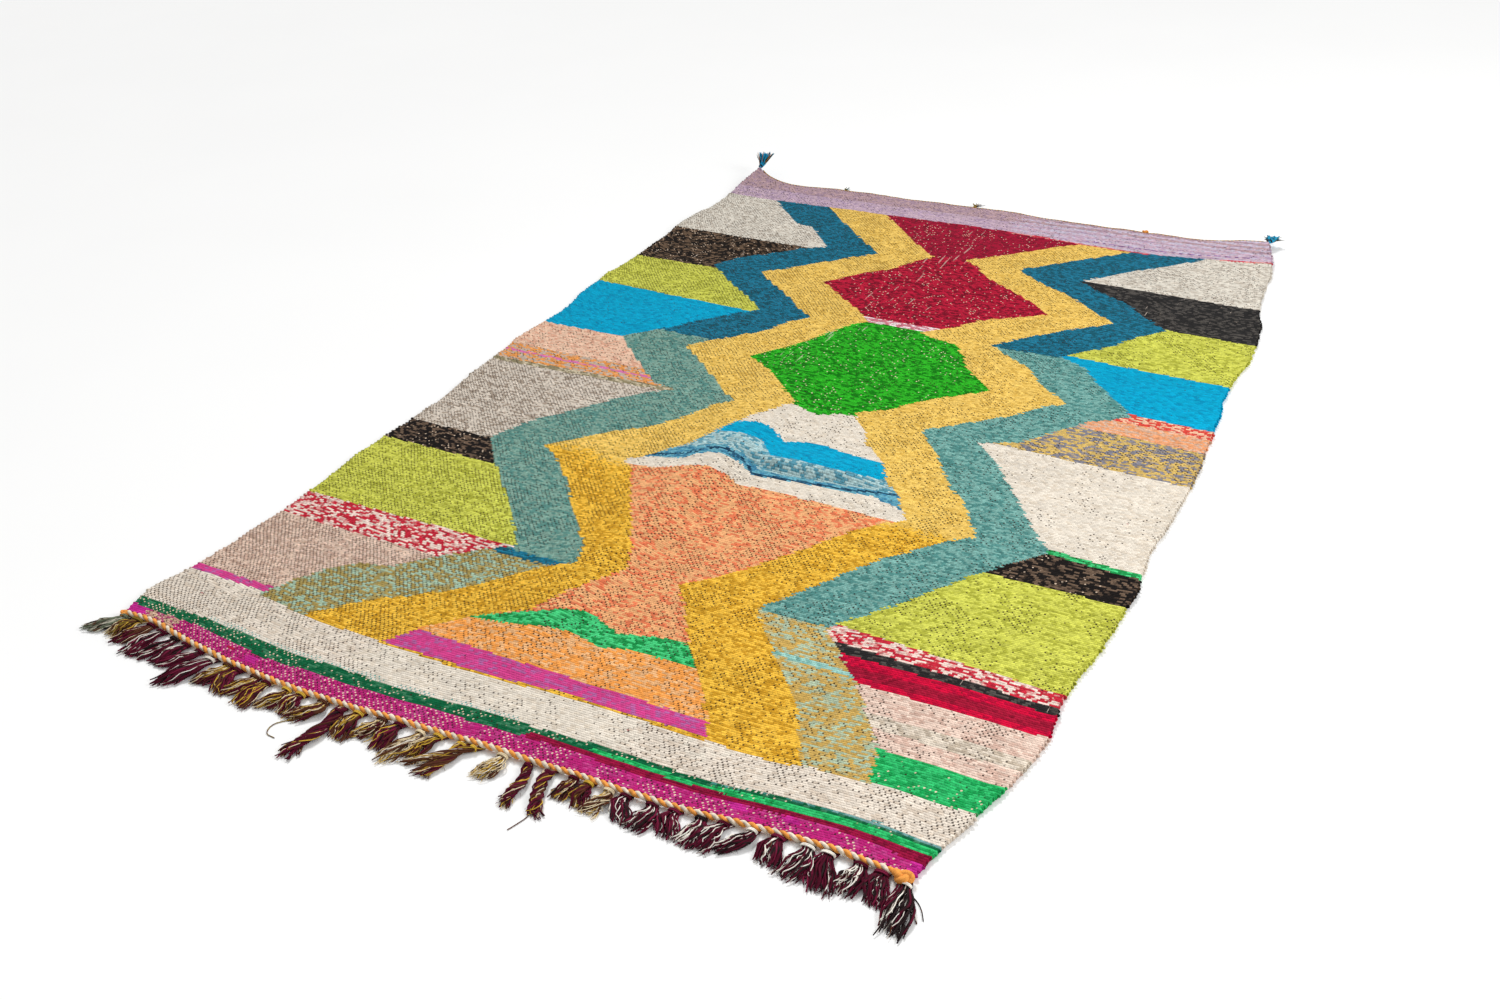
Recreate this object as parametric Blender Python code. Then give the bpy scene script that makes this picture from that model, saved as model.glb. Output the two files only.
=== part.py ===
"""A flat-woven rag rug lying on a floor, with a twined cord and a knotted fringe along one end.

The cloth is one uneven sheet: its four sides follow short tables of stations, and its height above
the floor is the sum of a few named folds. The cord, the fringe and the corner tassels are narrow
strips whose outer faces are drawn out into strands. All sizes are in metres, with +Z up, +X along
the weft and +Y from the fringed end to the plain end. The origin is under the middle of the part.
"""

import math
import random

import bmesh
import bpy
import numpy as np

# Cloth
CLOTH_THICKNESS = 0.005
SELVEDGE_EXTRA = 0.0015
SELVEDGE_REACH = 0.030
EDGE_CHAMFER = 0.0012
COLUMNS = 42
ROWS = 60
CLEARANCE = 0.0004

# Outline of the cloth seen from above, with the middle of the weaving near zero.
# Left and right sides: how far along (y) and where the selvedge runs (x).
LEFT_SIDE = [
    # y, x
    (-1.175, -0.768),
    (-1.100, -0.778),
    (-1.000, -0.757),
    (-0.850, -0.747),
    (-0.720, -0.740),
    (-0.550, -0.750),
    (-0.370, -0.738),
    (-0.100, -0.752),
    (0.050, -0.756),
    (0.160, -0.745),
    (0.380, -0.762),
    (0.550, -0.750),
    (0.780, -0.748),
    (1.000, -0.731),
    (1.100, -0.731),
    (1.177, -0.711),
]
RIGHT_SIDE = [
    # y, x
    (-1.160, 0.755),
    (-1.020, 0.790),
    (-0.930, 0.815),
    (-0.840, 0.831),
    (-0.720, 0.825),
    (-0.550, 0.843),
    (-0.400, 0.850),
    (-0.290, 0.842),
    (-0.120, 0.851),
    (0.170, 0.843),
    (0.400, 0.831),
    (0.550, 0.841),
    (0.670, 0.832),
    (0.830, 0.802),
    (1.030, 0.786),
    (1.165, 0.752),
]
# Fringed end and plain end: position along the weft (x) and where the end runs (y).
FRINGED_END = [
    # x, y
    (-0.768, -1.175),
    (-0.700, -1.172),
    (-0.600, -1.187),
    (-0.480, -1.200),
    (-0.350, -1.207),
    (-0.200, -1.203),
    (0.000, -1.190),
    (0.200, -1.183),
    (0.400, -1.177),
    (0.500, -1.165),
    (0.620, -1.155),
    (0.755, -1.160),
]
PLAIN_END = [
    # x, y
    (-0.711, 1.177),
    (-0.680, 1.158),
    (-0.600, 1.146),
    (-0.480, 1.163),
    (-0.200, 1.165),
    (0.000, 1.170),
    (0.200, 1.158),
    (0.500, 1.154),
    (0.620, 1.150),
    (0.752, 1.165),
]

# The long soft ridge left by folding the rug lengthwise, at stations along it.
RIDGE_SECTIONS = [
    # y, crest x, height
    (-1.060, -0.060, 0.000),
    (-0.940, -0.055, 0.014),
    (-0.820, -0.050, 0.020),
    (-0.600, -0.040, 0.024),
    (-0.420, -0.035, 0.027),
    (-0.290, -0.030, 0.029),
    (-0.150, -0.030, 0.020),
    (0.000, -0.025, 0.012),
    (0.250, -0.020, 0.009),
    (0.450, -0.020, 0.000),
]
RIDGE_REACH_LEFT = 0.150
RIDGE_REACH_RIGHT = 0.085

# The pleat across the ridge: gentle on its far side and steep on its near side.
PLEAT_SECTIONS = [
    # x, crest y, height
    (-0.120, -0.235, 0.000),
    (-0.030, -0.240, 0.006),
    (0.060, -0.262, 0.016),
    (0.200, -0.262, 0.015),
    (0.290, -0.250, 0.009),
    (0.360, -0.240, 0.000),
]
PLEAT_REACH_FAR = 0.100
PLEAT_REACH_NEAR = 0.040

# Round swellings where the cloth stands off the floor.
HUMPS = [
    # x, y, reach across, reach along, height
    (-0.500, 0.770, 0.115, 0.150, 0.016),
    (-0.735, 0.800, 0.080, 0.120, 0.007),
    (-0.230, 0.900, 0.160, 0.120, 0.005),
    (0.480, 0.560, 0.200, 0.160, 0.005),
    (0.760, 1.170, 0.230, 0.210, 0.015),
    (-0.450, -0.550, 0.180, 0.200, 0.005),
    (0.560, -0.760, 0.180, 0.150, 0.005),
]

# The plain end's left corner curls up.
CURL_CORNER = (-0.711, 1.177)
CURL_REACH = 0.200
CURL_HEIGHT = 0.034

# Where the grid of the cloth is closer, so that the folds are smooth.
CLOSER_COLUMNS = [
    # x, reach, extra density
    (-0.010, 0.120, 2.4),
    (-0.500, 0.120, 0.9),
    (-0.740, 0.060, 0.8),
]
CLOSER_ROWS = [
    # y, reach, extra density
    (-0.275, 0.070, 2.6),
    (0.780, 0.140, 0.8),
    (1.120, 0.090, 1.0),
]

# Twined cord along the fringed end
CORD_DEPTH = 0.0090
CORD_HEIGHT = 0.0088
CORD_OUTER_HEIGHT = 0.0066
CORD_TWIST_LENGTH = 0.0105
CORD_TWIST_RELIEF = 0.22
CORD_SETBACK_LEFT = 0.0008
CORD_SETBACK_RIGHT = 0.0080
END_KNOT_LENGTH = 0.030
END_KNOT_EXTRA = 0.0055

# Fringe
BUNCHES = 38
STRANDS_PER_BUNCH = 5
STRAND_PITCH = 0.0054
STRAND_ROOT_SHARE = 0.82
STRAND_WIDTHS = (0.0045, 0.0043, 0.0032)
STRAND_HEIGHTS = (0.0050, 0.0048, 0.0028)
BUNCH_CROWN = 0.75
TURNS_SHOWN_BETWEEN_BUNCHES = 4
STRAND_STATIONS = (0.14, 0.52, 1.0)
STRAND_LENGTH_SPREAD = 0.07
BUNCH_SWAY = 0.0025
BUNCH_SECTIONS = [
    # x, sideways lean of the tip, length, spread of the tips over the roots
    (-0.748, -0.036, 0.064, 2.30),
    (-0.708, -0.006, 0.070, 1.45),
    (-0.660, -0.012, 0.080, 1.05),
    (-0.590, -0.014, 0.072, 1.05),
    (-0.548, -0.026, 0.068, 1.00),
    (-0.508, -0.036, 0.094, 1.00),
    (-0.468, -0.008, 0.064, 1.05),
    (-0.390, -0.008, 0.076, 1.05),
    (-0.270, -0.004, 0.066, 1.05),
    (-0.230, 0.000, 0.134, 0.90),
    (-0.190, 0.000, 0.070, 1.05),
    (-0.110, -0.006, 0.068, 1.05),
    (-0.070, -0.014, 0.088, 1.00),
    (-0.030, -0.022, 0.068, 1.00),
    (0.010, -0.014, 0.092, 0.90),
    (0.090, -0.004, 0.062, 1.05),
    (0.130, 0.018, 0.094, 0.90),
    (0.170, 0.020, 0.092, 0.90),
    (0.210, 0.006, 0.054, 1.00),
    (0.290, 0.012, 0.058, 1.05),
    (0.370, 0.000, 0.060, 1.10),
    (0.450, -0.006, 0.062, 1.10),
    (0.530, -0.022, 0.066, 1.00),
    (0.570, -0.016, 0.060, 1.05),
    (0.650, 0.000, 0.076, 1.10),
    (0.690, 0.004, 0.072, 1.10),
    (0.728, 0.028, 0.096, 1.90),
]

# Thin twined thread along the plain end, with two tufts and a knot on it
THREAD_DEPTH = 0.0036
THREAD_HEIGHT = 0.0040
THREAD_RISE = 0.0008
THREAD_SETBACK = 0.016
TUFTS = [
    # x, length
    (-0.430, 0.016),
    (-0.040, 0.026),
]
TUFT_STRANDS = 3
TUFT_PITCH = 0.0056
THREAD_KNOT_X = 0.440
THREAD_KNOT_LENGTH = 0.014
THREAD_KNOT_EXTRA = 0.0060

# Tassels tied to the corners of the plain end
TASSEL_HEAD_LENGTH = 0.020
TASSEL_HEAD_DEPTH = 0.008
TASSEL_HEAD_HEIGHT = 0.007
TASSEL_STRANDS = 7
TASSEL_WIDTHS = (0.0030, 0.0034, 0.0022)
TASSEL_HEIGHTS = (0.0034, 0.0036, 0.0022)
TASSELS = [
    # node, side of the rug, outward direction, length, rise of the tips, spread of the tips
    ("tassel_far_left", "left", (-0.10, 0.995), 0.042, 0.026, 2.6),
    ("tassel_far_right", "right", (0.45, 0.893), 0.046, -0.010, 1.9),
]

# Surface colours and roughness
FINISHES = {
    "rug_cloth": ((0.72, 0.62, 0.50), 0.92),
    "edge_cord_fringe": ((0.24, 0.07, 0.07), 0.90),
    "far_edge_thread": ((0.76, 0.48, 0.22), 0.90),
    "tassel_far_left": ((0.05, 0.26, 0.42), 0.90),
    "tassel_far_right": ((0.06, 0.30, 0.44), 0.90),
}


def clear_scene():
    for obj in list(bpy.data.objects):
        bpy.data.objects.remove(obj)


def column(table, index):
    return np.array([row[index] for row in table], float)


def smooth_curve(table, value, index=1):
    """Value of a table's column on a smooth curve through its rows, held flat past both ends."""
    at = column(table, 0)
    to = column(table, index)
    slope = np.gradient(to, at)
    value = min(max(value, at[0]), at[-1])
    i = min(int(np.searchsorted(at, value, side="right")) - 1, len(at) - 2)
    span = at[i + 1] - at[i]
    t = (value - at[i]) / span
    start = (1 + 2 * t) * (1 - t) ** 2 * to[i] + t * (1 - t) ** 2 * span * slope[i]
    end = t * t * (3 - 2 * t) * to[i + 1] + t * t * (t - 1) * span * slope[i + 1]
    return start + end


def bump(distance, reach):
    """One at zero distance, falling smoothly to nothing at the reach."""
    share = min(abs(distance) / reach, 1.0)
    return (1 - share * share) ** 2


def ridge_height(x, y):
    if y < RIDGE_SECTIONS[0][0] or y > RIDGE_SECTIONS[-1][0]:
        return 0.0
    crest = smooth_curve(RIDGE_SECTIONS, y, 1)
    reach = RIDGE_REACH_LEFT if x < crest else RIDGE_REACH_RIGHT
    return max(0.0, smooth_curve(RIDGE_SECTIONS, y, 2)) * bump(x - crest, reach)


def pleat_height(x, y):
    if x < PLEAT_SECTIONS[0][0] or x > PLEAT_SECTIONS[-1][0]:
        return 0.0
    crest = smooth_curve(PLEAT_SECTIONS, x, 1)
    reach = PLEAT_REACH_FAR if y > crest else PLEAT_REACH_NEAR
    return max(0.0, smooth_curve(PLEAT_SECTIONS, x, 2)) * bump(y - crest, reach)


def hump_height(x, y):
    total = 0.0
    for centre_x, centre_y, across, along, height in HUMPS:
        distance = math.hypot((x - centre_x) / across, (y - centre_y) / along)
        total += height * bump(distance, 1.0)
    return total


def curl_height(x, y):
    distance = math.hypot(x - CURL_CORNER[0], y - CURL_CORNER[1])
    return CURL_HEIGHT * max(0.0, 1 - distance / CURL_REACH) ** 2


def cloth_height(x, y):
    """Height of the cloth's underside above the floor."""
    return ridge_height(x, y) + pleat_height(x, y) + hump_height(x, y) + curl_height(x, y)


def crowded_shares(start, end, count, closer):
    """Shares from 0 to 1 that lie closer together near the listed places."""
    places = np.linspace(start, end, 2000)
    density = np.ones_like(places)
    for centre, reach, extra in closer:
        share = np.minimum(np.abs(places - centre) / reach, 1.0)
        density += extra * (1 - share * share) ** 2
    grown = np.concatenate(([0.0], np.cumsum((density[1:] + density[:-1]) / 2)))
    wanted = np.linspace(0.0, grown[-1], count)
    return (np.interp(wanted, grown, places) - start) / (end - start)


def between(a, b, share):
    return a + (b - a) * share


def cloth_point(u, v):
    """Place in the outline for a share u across the weft and a share v along the warp."""
    near_x = between(FRINGED_END[0][0], FRINGED_END[-1][0], u)
    far_x = between(PLAIN_END[0][0], PLAIN_END[-1][0], u)
    left_y = between(LEFT_SIDE[0][0], LEFT_SIDE[-1][0], v)
    right_y = between(RIGHT_SIDE[0][0], RIGHT_SIDE[-1][0], v)
    near = np.array([near_x, smooth_curve(FRINGED_END, near_x)])
    far = np.array([far_x, smooth_curve(PLAIN_END, far_x)])
    left = np.array([smooth_curve(LEFT_SIDE, left_y), left_y])
    right = np.array([smooth_curve(RIGHT_SIDE, right_y), right_y])
    corners = [np.array(p) for p in (FRINGED_END[0], FRINGED_END[-1], PLAIN_END[0], PLAIN_END[-1])]
    straight_near = between(corners[0], corners[1], u)
    straight_far = between(corners[2], corners[3], u)
    return (
        between(near, far, v)
        + between(left, right, u)
        - between(straight_near, straight_far, v)
    )


def cloth_grid():
    """Plan position and underside height of every grid point, by row and column."""
    across = crowded_shares(FRINGED_END[0][0], FRINGED_END[-1][0], COLUMNS, CLOSER_COLUMNS)
    along = crowded_shares(LEFT_SIDE[0][0], LEFT_SIDE[-1][0], ROWS, CLOSER_ROWS)
    grid = np.zeros((ROWS, COLUMNS, 3))
    for r, v in enumerate(along):
        for c, u in enumerate(across):
            x, y = cloth_point(u, v)
            grid[r, c] = (x, y, cloth_height(x, y))
    return grid


def cloth_thickness(x, left, right):
    """The selvedges are a little thicker than the middle."""
    distance = min(x - left, right - x)
    return CLOTH_THICKNESS + SELVEDGE_EXTRA * bump(distance, SELVEDGE_REACH)


def new_object(name, mesh_builder):
    mesh = bpy.data.meshes.new(name)
    bmesh.ops.recalc_face_normals(mesh_builder, faces=mesh_builder.faces)
    mesh_builder.to_mesh(mesh)
    mesh_builder.free()
    obj = bpy.data.objects.new(name, mesh)
    bpy.context.scene.collection.objects.link(obj)
    obj.data.materials.append(material(name))
    return obj


def material(name):
    colour, roughness = FINISHES[name]
    made = bpy.data.materials.new(name)
    made.use_nodes = True
    shader = made.node_tree.nodes["Principled BSDF"]
    shader.inputs["Base Color"].default_value = (*colour, 1.0)
    shader.inputs["Roughness"].default_value = roughness
    shader.inputs["Metallic"].default_value = 0.0
    return made


def make_cloth(grid):
    """One closed sheet: an upper and a lower grid joined round the rim."""
    builder = bmesh.new()
    lower = [[builder.verts.new(grid[r, c]) for c in range(COLUMNS)] for r in range(ROWS)]
    upper = []
    for r in range(ROWS):
        line = []
        for c in range(COLUMNS):
            x, y, z = grid[r, c]
            thick = cloth_thickness(x, grid[r, 0, 0], grid[r, -1, 0])
            x += EDGE_CHAMFER * ((c == 0) - (c == COLUMNS - 1))
            y += EDGE_CHAMFER * ((r == 0) - (r == ROWS - 1))
            line.append(builder.verts.new((x, y, z + thick)))
        upper.append(line)
    for r in range(ROWS - 1):
        for c in range(COLUMNS - 1):
            for sheet in (lower, upper):
                builder.faces.new(
                    (sheet[r][c], sheet[r][c + 1], sheet[r + 1][c + 1], sheet[r + 1][c])
                )
    rim = [(0, c) for c in range(COLUMNS)]
    rim += [(r, COLUMNS - 1) for r in range(1, ROWS)]
    rim += [(ROWS - 1, c) for c in range(COLUMNS - 2, -1, -1)]
    rim += [(r, 0) for r in range(ROWS - 2, 0, -1)]
    for (r0, c0), (r1, c1) in zip(rim, rim[1:] + rim[:1]):
        builder.faces.new((lower[r0][c0], lower[r1][c1], upper[r1][c1], upper[r0][c0]))
    return new_object("rug_cloth", builder)


def strand_rings(points, widths, heights, across):
    """Rings of four corners along a strand; each point is the middle of the strand's underside."""
    rings = []
    for i in range(1, len(points)):
        ahead = np.array(points[min(i + 1, len(points) - 1)][:2])
        behind = np.array(points[i - 1][:2])
        way = (ahead - behind) / np.linalg.norm(ahead - behind)
        side = np.array([-way[1], way[0]])
        if side @ across < 0:
            side = -side
        half = side * widths[i - 1] / 2
        x, y, z = points[i]
        top = z + heights[i - 1]
        rings.append(
            [
                (x - half[0], y - half[1], top),
                (x + half[0], y + half[1], top),
                (x + half[0], y + half[1], z),
                (x - half[0], y - half[1], z),
            ]
        )
    return rings


def make_strip(name, sections, strands):
    """A closed strip of four-cornered sections, with strands drawn out of its outer face.

    Each section is (inner low, inner top, outer top, outer low). The strands are keyed by the
    section before the face that they grow from.
    """
    builder = bmesh.new()
    rings = [[builder.verts.new(corner) for corner in section] for section in sections]
    for i in range(len(rings) - 1):
        a, b = rings[i], rings[i + 1]
        builder.faces.new((a[0], b[0], b[1], a[1]))
        builder.faces.new((a[1], b[1], b[2], a[2]))
        builder.faces.new((a[3], b[3], b[0], a[0]))
        if i not in strands:
            builder.faces.new((a[2], b[2], b[3], a[3]))
            continue
        previous = [a[2], b[2], b[3], a[3]]
        for corners in strands[i]:
            ring = [builder.verts.new(corner) for corner in corners]
            for k in range(4):
                m = (k + 1) % 4
                builder.faces.new((previous[k], previous[m], ring[m], ring[k]))
            previous = ring
        builder.faces.new(previous)
    builder.faces.new(rings[0])
    builder.faces.new(rings[-1])
    return new_object(name, builder)


def end_line(grid, row, x):
    """Where the cloth's rim runs at x: its y and its underside height, on the grid's own lines."""
    rim = grid[row]
    return np.interp(x, rim[:, 0], rim[:, 1]), np.interp(x, rim[:, 0], rim[:, 2])


def knot_share(x, centre, length):
    return bump(x - centre, length)


def cord_section(grid, x, left, right):
    """Section of the twined cord at x. Its top swells with each turn and at the end knot."""
    y, _ = end_line(grid, 0, x)
    turn = abs(math.sin(math.pi * (x - left) / CORD_TWIST_LENGTH))
    swell = 1 - CORD_TWIST_RELIEF + CORD_TWIST_RELIEF * turn
    knot = END_KNOT_EXTRA * knot_share(x, right, END_KNOT_LENGTH)
    inner = y - CLEARANCE
    outer = inner - CORD_DEPTH * (0.92 + 0.08 * turn) - knot
    return [
        (x, inner, 0.0),
        (x, inner, CORD_HEIGHT * swell + knot),
        (x, outer, CORD_OUTER_HEIGHT * swell + knot),
        (x, outer, 0.0),
    ]


def bunch_strand(rng, bunch, place, root, outer_y, sway):
    """Points along one fringe strand, from its root on the cord to its tip on the floor."""
    centre, lean, length, spread = bunch
    tip = centre + lean + (root - centre) * spread
    reach = length * (1 + rng.uniform(-STRAND_LENGTH_SPREAD, STRAND_LENGTH_SPREAD))
    reach *= 1 - 0.05 * abs(place)
    points = [(root, outer_y, 0.0)]
    for t in STRAND_STATIONS:
        x = between(root, tip, t * (2 - t)) + sway * math.sin(math.pi * t)
        points.append((x, outer_y - reach * t, 0.0))
    return points


def make_cord_and_fringe(grid):
    """The twined cord is the backing, and each bunch of the fringe is a few strands."""
    rng = random.Random(11)
    left = grid[0, 0, 0] + CORD_SETBACK_LEFT
    right = grid[0, -1, 0] - CORD_SETBACK_RIGHT
    bunch_pitch = (right - left) / BUNCHES
    bunch_half = STRAND_PITCH * STRANDS_PER_BUNCH / 2
    root_half = STRAND_PITCH * STRAND_ROOT_SHARE / 2
    sections = []
    strands = {}
    for b in range(BUNCHES):
        centre = left + bunch_pitch * (b + 0.5)
        gap = np.linspace(centre - bunch_pitch / 2, centre - bunch_half, TURNS_SHOWN_BETWEEN_BUNCHES)
        sections += [cord_section(grid, x, left, right) for x in gap[:-1]]
        lean, length, spread = (smooth_curve(BUNCH_SECTIONS, centre, k) for k in (1, 2, 3))
        sway = rng.uniform(-BUNCH_SWAY, BUNCH_SWAY)
        for s in range(STRANDS_PER_BUNCH):
            place = s - (STRANDS_PER_BUNCH - 1) / 2
            root = centre + place * STRAND_PITCH
            sections.append(cord_section(grid, root - root_half, left, right))
            sections.append(cord_section(grid, root + root_half, left, right))
            outer_y = (sections[-1][3][1] + sections[-2][3][1]) / 2
            points = bunch_strand(rng, (centre, lean, length, spread), place, root, outer_y, sway)
            crown = 1 + BUNCH_CROWN * bump(place, STRANDS_PER_BUNCH / 2)
            heights = (STRAND_HEIGHTS[0] * crown, STRAND_HEIGHTS[1] * crown, STRAND_HEIGHTS[2])
            strands[len(sections) - 2] = strand_rings(
                points, STRAND_WIDTHS, heights, np.array([1.0, 0.0])
            )
        sections.append(cord_section(grid, centre + bunch_half, left, right))
    sections.append(cord_section(grid, right, left, right))
    return make_strip("edge_cord_fringe", sections, strands)


def thread_section(grid, x):
    """Section of the thin thread that follows the plain end of the cloth."""
    y, z = end_line(grid, ROWS - 1, x)
    knot = THREAD_KNOT_EXTRA * knot_share(x, THREAD_KNOT_X, THREAD_KNOT_LENGTH)
    inner = y + CLEARANCE
    outer = inner + THREAD_DEPTH + knot
    low = z + THREAD_RISE
    return [
        (x, inner, low),
        (x, inner, low + THREAD_HEIGHT + knot / 2),
        (x, outer, low + THREAD_HEIGHT * 0.8 + knot / 2),
        (x, outer, low),
    ]


def make_far_thread(grid):
    """A thin thread along the plain end, with short tufts of yarn standing out of it."""
    start = grid[-1, 0, 0] + THREAD_SETBACK
    end = grid[-1, -1, 0] - THREAD_SETBACK
    roots = []
    for x, length in TUFTS:
        for s in range(TUFT_STRANDS):
            place = s - (TUFT_STRANDS - 1) / 2
            half = TUFT_PITCH * STRAND_ROOT_SHARE / 2
            root = x + place * TUFT_PITCH
            roots.append((root - half, root + half, place, length))
    knot_places = THREAD_KNOT_X + THREAD_KNOT_LENGTH * np.linspace(-1, 1, 7)
    tuft_edges = [edge for low, high, _, _ in roots for edge in (low, high)]
    free = [x for x in grid[-1, :, 0] if start + 0.004 < x < end - 0.004]
    near_tuft = TUFT_PITCH * TUFT_STRANDS
    free = [x for x in free if all(abs(x - t[0]) > near_tuft for t in TUFTS)]
    places = sorted([start, end, *free, *tuft_edges, *knot_places])
    places = [p for i, p in enumerate(places) if i == 0 or p - places[i - 1] > 0.0005]
    sections = [thread_section(grid, x) for x in places]
    strands = {}
    for low, high, place, length in roots:
        i = places.index(low)
        middle = (low + high) / 2
        outer = sections[i][3][1]
        bottom = sections[i][3][2]
        points = [(middle, outer, bottom)]
        for t in STRAND_STATIONS:
            x = middle + place * TUFT_PITCH * 0.35 * t
            points.append((x, outer + length * t, bottom + 0.002 * t))
        strands[i] = strand_rings(points, TASSEL_WIDTHS, TASSEL_HEIGHTS, np.array([1.0, 0.0]))
    return make_strip("far_edge_thread", sections, strands)


def make_tassel(grid, name, side, outward, length, rise, spread):
    """A flat head set against the corner, with its strands fanning outward."""
    corner = grid[-1, 0] if side == "left" else grid[-1, -1]
    outward = np.array(outward) / np.linalg.norm(outward)
    across = np.array([outward[1], -outward[0]])
    inner_middle = corner[:2] + outward * CLEARANCE
    low = corner[2] + THREAD_RISE
    pitch = TASSEL_HEAD_LENGTH / TASSEL_STRANDS
    half = pitch * 0.68 / 2

    def head_section(place):
        crown = 1 - 0.35 * (2 * place / TASSEL_HEAD_LENGTH) ** 2
        inner = inner_middle + across * place
        outer = inner + outward * TASSEL_HEAD_DEPTH
        return [
            (*inner, low),
            (*inner, low + TASSEL_HEAD_HEIGHT * crown),
            (*outer, low + TASSEL_HEAD_HEIGHT * crown * 0.8),
            (*outer, low),
        ]

    sections = [head_section(-TASSEL_HEAD_LENGTH / 2)]
    strands = {}
    for s in range(TASSEL_STRANDS):
        place = (s - (TASSEL_STRANDS - 1) / 2) * pitch
        sections.append(head_section(place - half))
        sections.append(head_section(place + half))
        root = inner_middle + across * place + outward * TASSEL_HEAD_DEPTH
        points = [(*root, low)]
        reach = length * (1 - 0.18 * abs(2 * place / TASSEL_HEAD_LENGTH))
        for t in STRAND_STATIONS:
            plan = root + outward * reach * t + across * place * (spread - 1) * t
            points.append((*plan, low + rise * t * t))
        strands[len(sections) - 2] = strand_rings(points, TASSEL_WIDTHS, TASSEL_HEIGHTS, across)
    sections.append(head_section(TASSEL_HEAD_LENGTH / 2))
    return make_strip(name, sections, strands)


def centre_over_origin(objects):
    """Moves every mesh so that the origin is under the middle of the whole part."""
    corners = np.array([v.co for obj in objects for v in obj.data.vertices])
    low, high = corners.min(axis=0), corners.max(axis=0)
    shift = ((low[0] + high[0]) / 2, (low[1] + high[1]) / 2, low[2])
    for obj in objects:
        for vertex in obj.data.vertices:
            vertex.co.x -= shift[0]
            vertex.co.y -= shift[1]
            vertex.co.z -= shift[2]
    print("middle of the part in the outline's own sizes:", [round(s, 5) for s in shift])
    print("size:", [round(float(s), 4) for s in high - low])


def main():
    clear_scene()
    grid = cloth_grid()
    objects = [make_cloth(grid), make_cord_and_fringe(grid), make_far_thread(grid)]
    objects += [make_tassel(grid, *row) for row in TASSELS]
    centre_over_origin(objects)


main()
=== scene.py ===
# %% [markdown]
# # A flat-woven rag rug with a twined cord and a knotted fringe
#
# The real rug was woven row by row: strands of torn rag and wool are passed over and under hidden
# warps and beaten down, so that only the coloured weft shows. Plain solids of the rug are loaded
# first. Each one is then replaced by a finer piece that follows its folds and carries the weave.

# %% Load the plain solids
import math
import random

import bpy
import numpy as np
from mathutils import Matrix, Vector, noise


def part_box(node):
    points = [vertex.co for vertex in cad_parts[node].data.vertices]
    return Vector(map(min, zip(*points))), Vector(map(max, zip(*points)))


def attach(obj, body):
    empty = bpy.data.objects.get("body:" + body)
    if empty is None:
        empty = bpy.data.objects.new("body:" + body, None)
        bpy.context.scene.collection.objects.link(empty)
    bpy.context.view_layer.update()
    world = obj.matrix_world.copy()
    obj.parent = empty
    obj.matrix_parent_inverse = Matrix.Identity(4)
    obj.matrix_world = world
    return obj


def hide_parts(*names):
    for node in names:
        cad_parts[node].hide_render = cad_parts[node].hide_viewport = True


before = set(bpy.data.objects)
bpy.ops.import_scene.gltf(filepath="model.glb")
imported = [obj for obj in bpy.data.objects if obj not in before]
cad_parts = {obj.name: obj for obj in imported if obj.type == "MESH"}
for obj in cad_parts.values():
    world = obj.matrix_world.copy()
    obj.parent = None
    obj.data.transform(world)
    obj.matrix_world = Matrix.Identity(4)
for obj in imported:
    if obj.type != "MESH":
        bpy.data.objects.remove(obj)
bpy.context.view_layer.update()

bpy.ops.object.select_all(action="DESELECT")
print("nodes:", sorted(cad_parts))

# %% [markdown]
# ## The outline
#
# A hand-woven rug is never a true rectangle: the weft pulls in where the rows are tight and bulges
# where they are loose. So each side is a short table of places measured on the rug, in metres from
# the middle of the weaving, and a smooth curve runs through each table. These are the same tables
# as those of the plain solids, so the finer cloth lies exactly where the plain one does.

# %% The four sides of the cloth
LEFT_SIDE = [
    # y, x
    (-1.175, -0.768),
    (-1.100, -0.778),
    (-1.000, -0.757),
    (-0.850, -0.747),
    (-0.720, -0.740),
    (-0.550, -0.750),
    (-0.370, -0.738),
    (-0.100, -0.752),
    (0.050, -0.756),
    (0.160, -0.745),
    (0.380, -0.762),
    (0.550, -0.750),
    (0.780, -0.748),
    (1.000, -0.731),
    (1.100, -0.731),
    (1.177, -0.711),
]
RIGHT_SIDE = [
    # y, x
    (-1.160, 0.755),
    (-1.020, 0.790),
    (-0.930, 0.815),
    (-0.840, 0.831),
    (-0.720, 0.825),
    (-0.550, 0.843),
    (-0.400, 0.850),
    (-0.290, 0.842),
    (-0.120, 0.851),
    (0.170, 0.843),
    (0.400, 0.831),
    (0.550, 0.841),
    (0.670, 0.832),
    (0.830, 0.802),
    (1.030, 0.786),
    (1.165, 0.752),
]
FRINGED_END = [
    # x, y
    (-0.768, -1.175),
    (-0.700, -1.172),
    (-0.600, -1.187),
    (-0.480, -1.200),
    (-0.350, -1.207),
    (-0.200, -1.203),
    (0.000, -1.190),
    (0.200, -1.183),
    (0.400, -1.177),
    (0.500, -1.165),
    (0.620, -1.155),
    (0.755, -1.160),
]
PLAIN_END = [
    # x, y
    (-0.711, 1.177),
    (-0.680, 1.158),
    (-0.600, 1.146),
    (-0.480, 1.163),
    (-0.200, 1.165),
    (0.000, 1.170),
    (0.200, 1.158),
    (0.500, 1.154),
    (0.620, 1.150),
    (0.752, 1.165),
]


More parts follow.
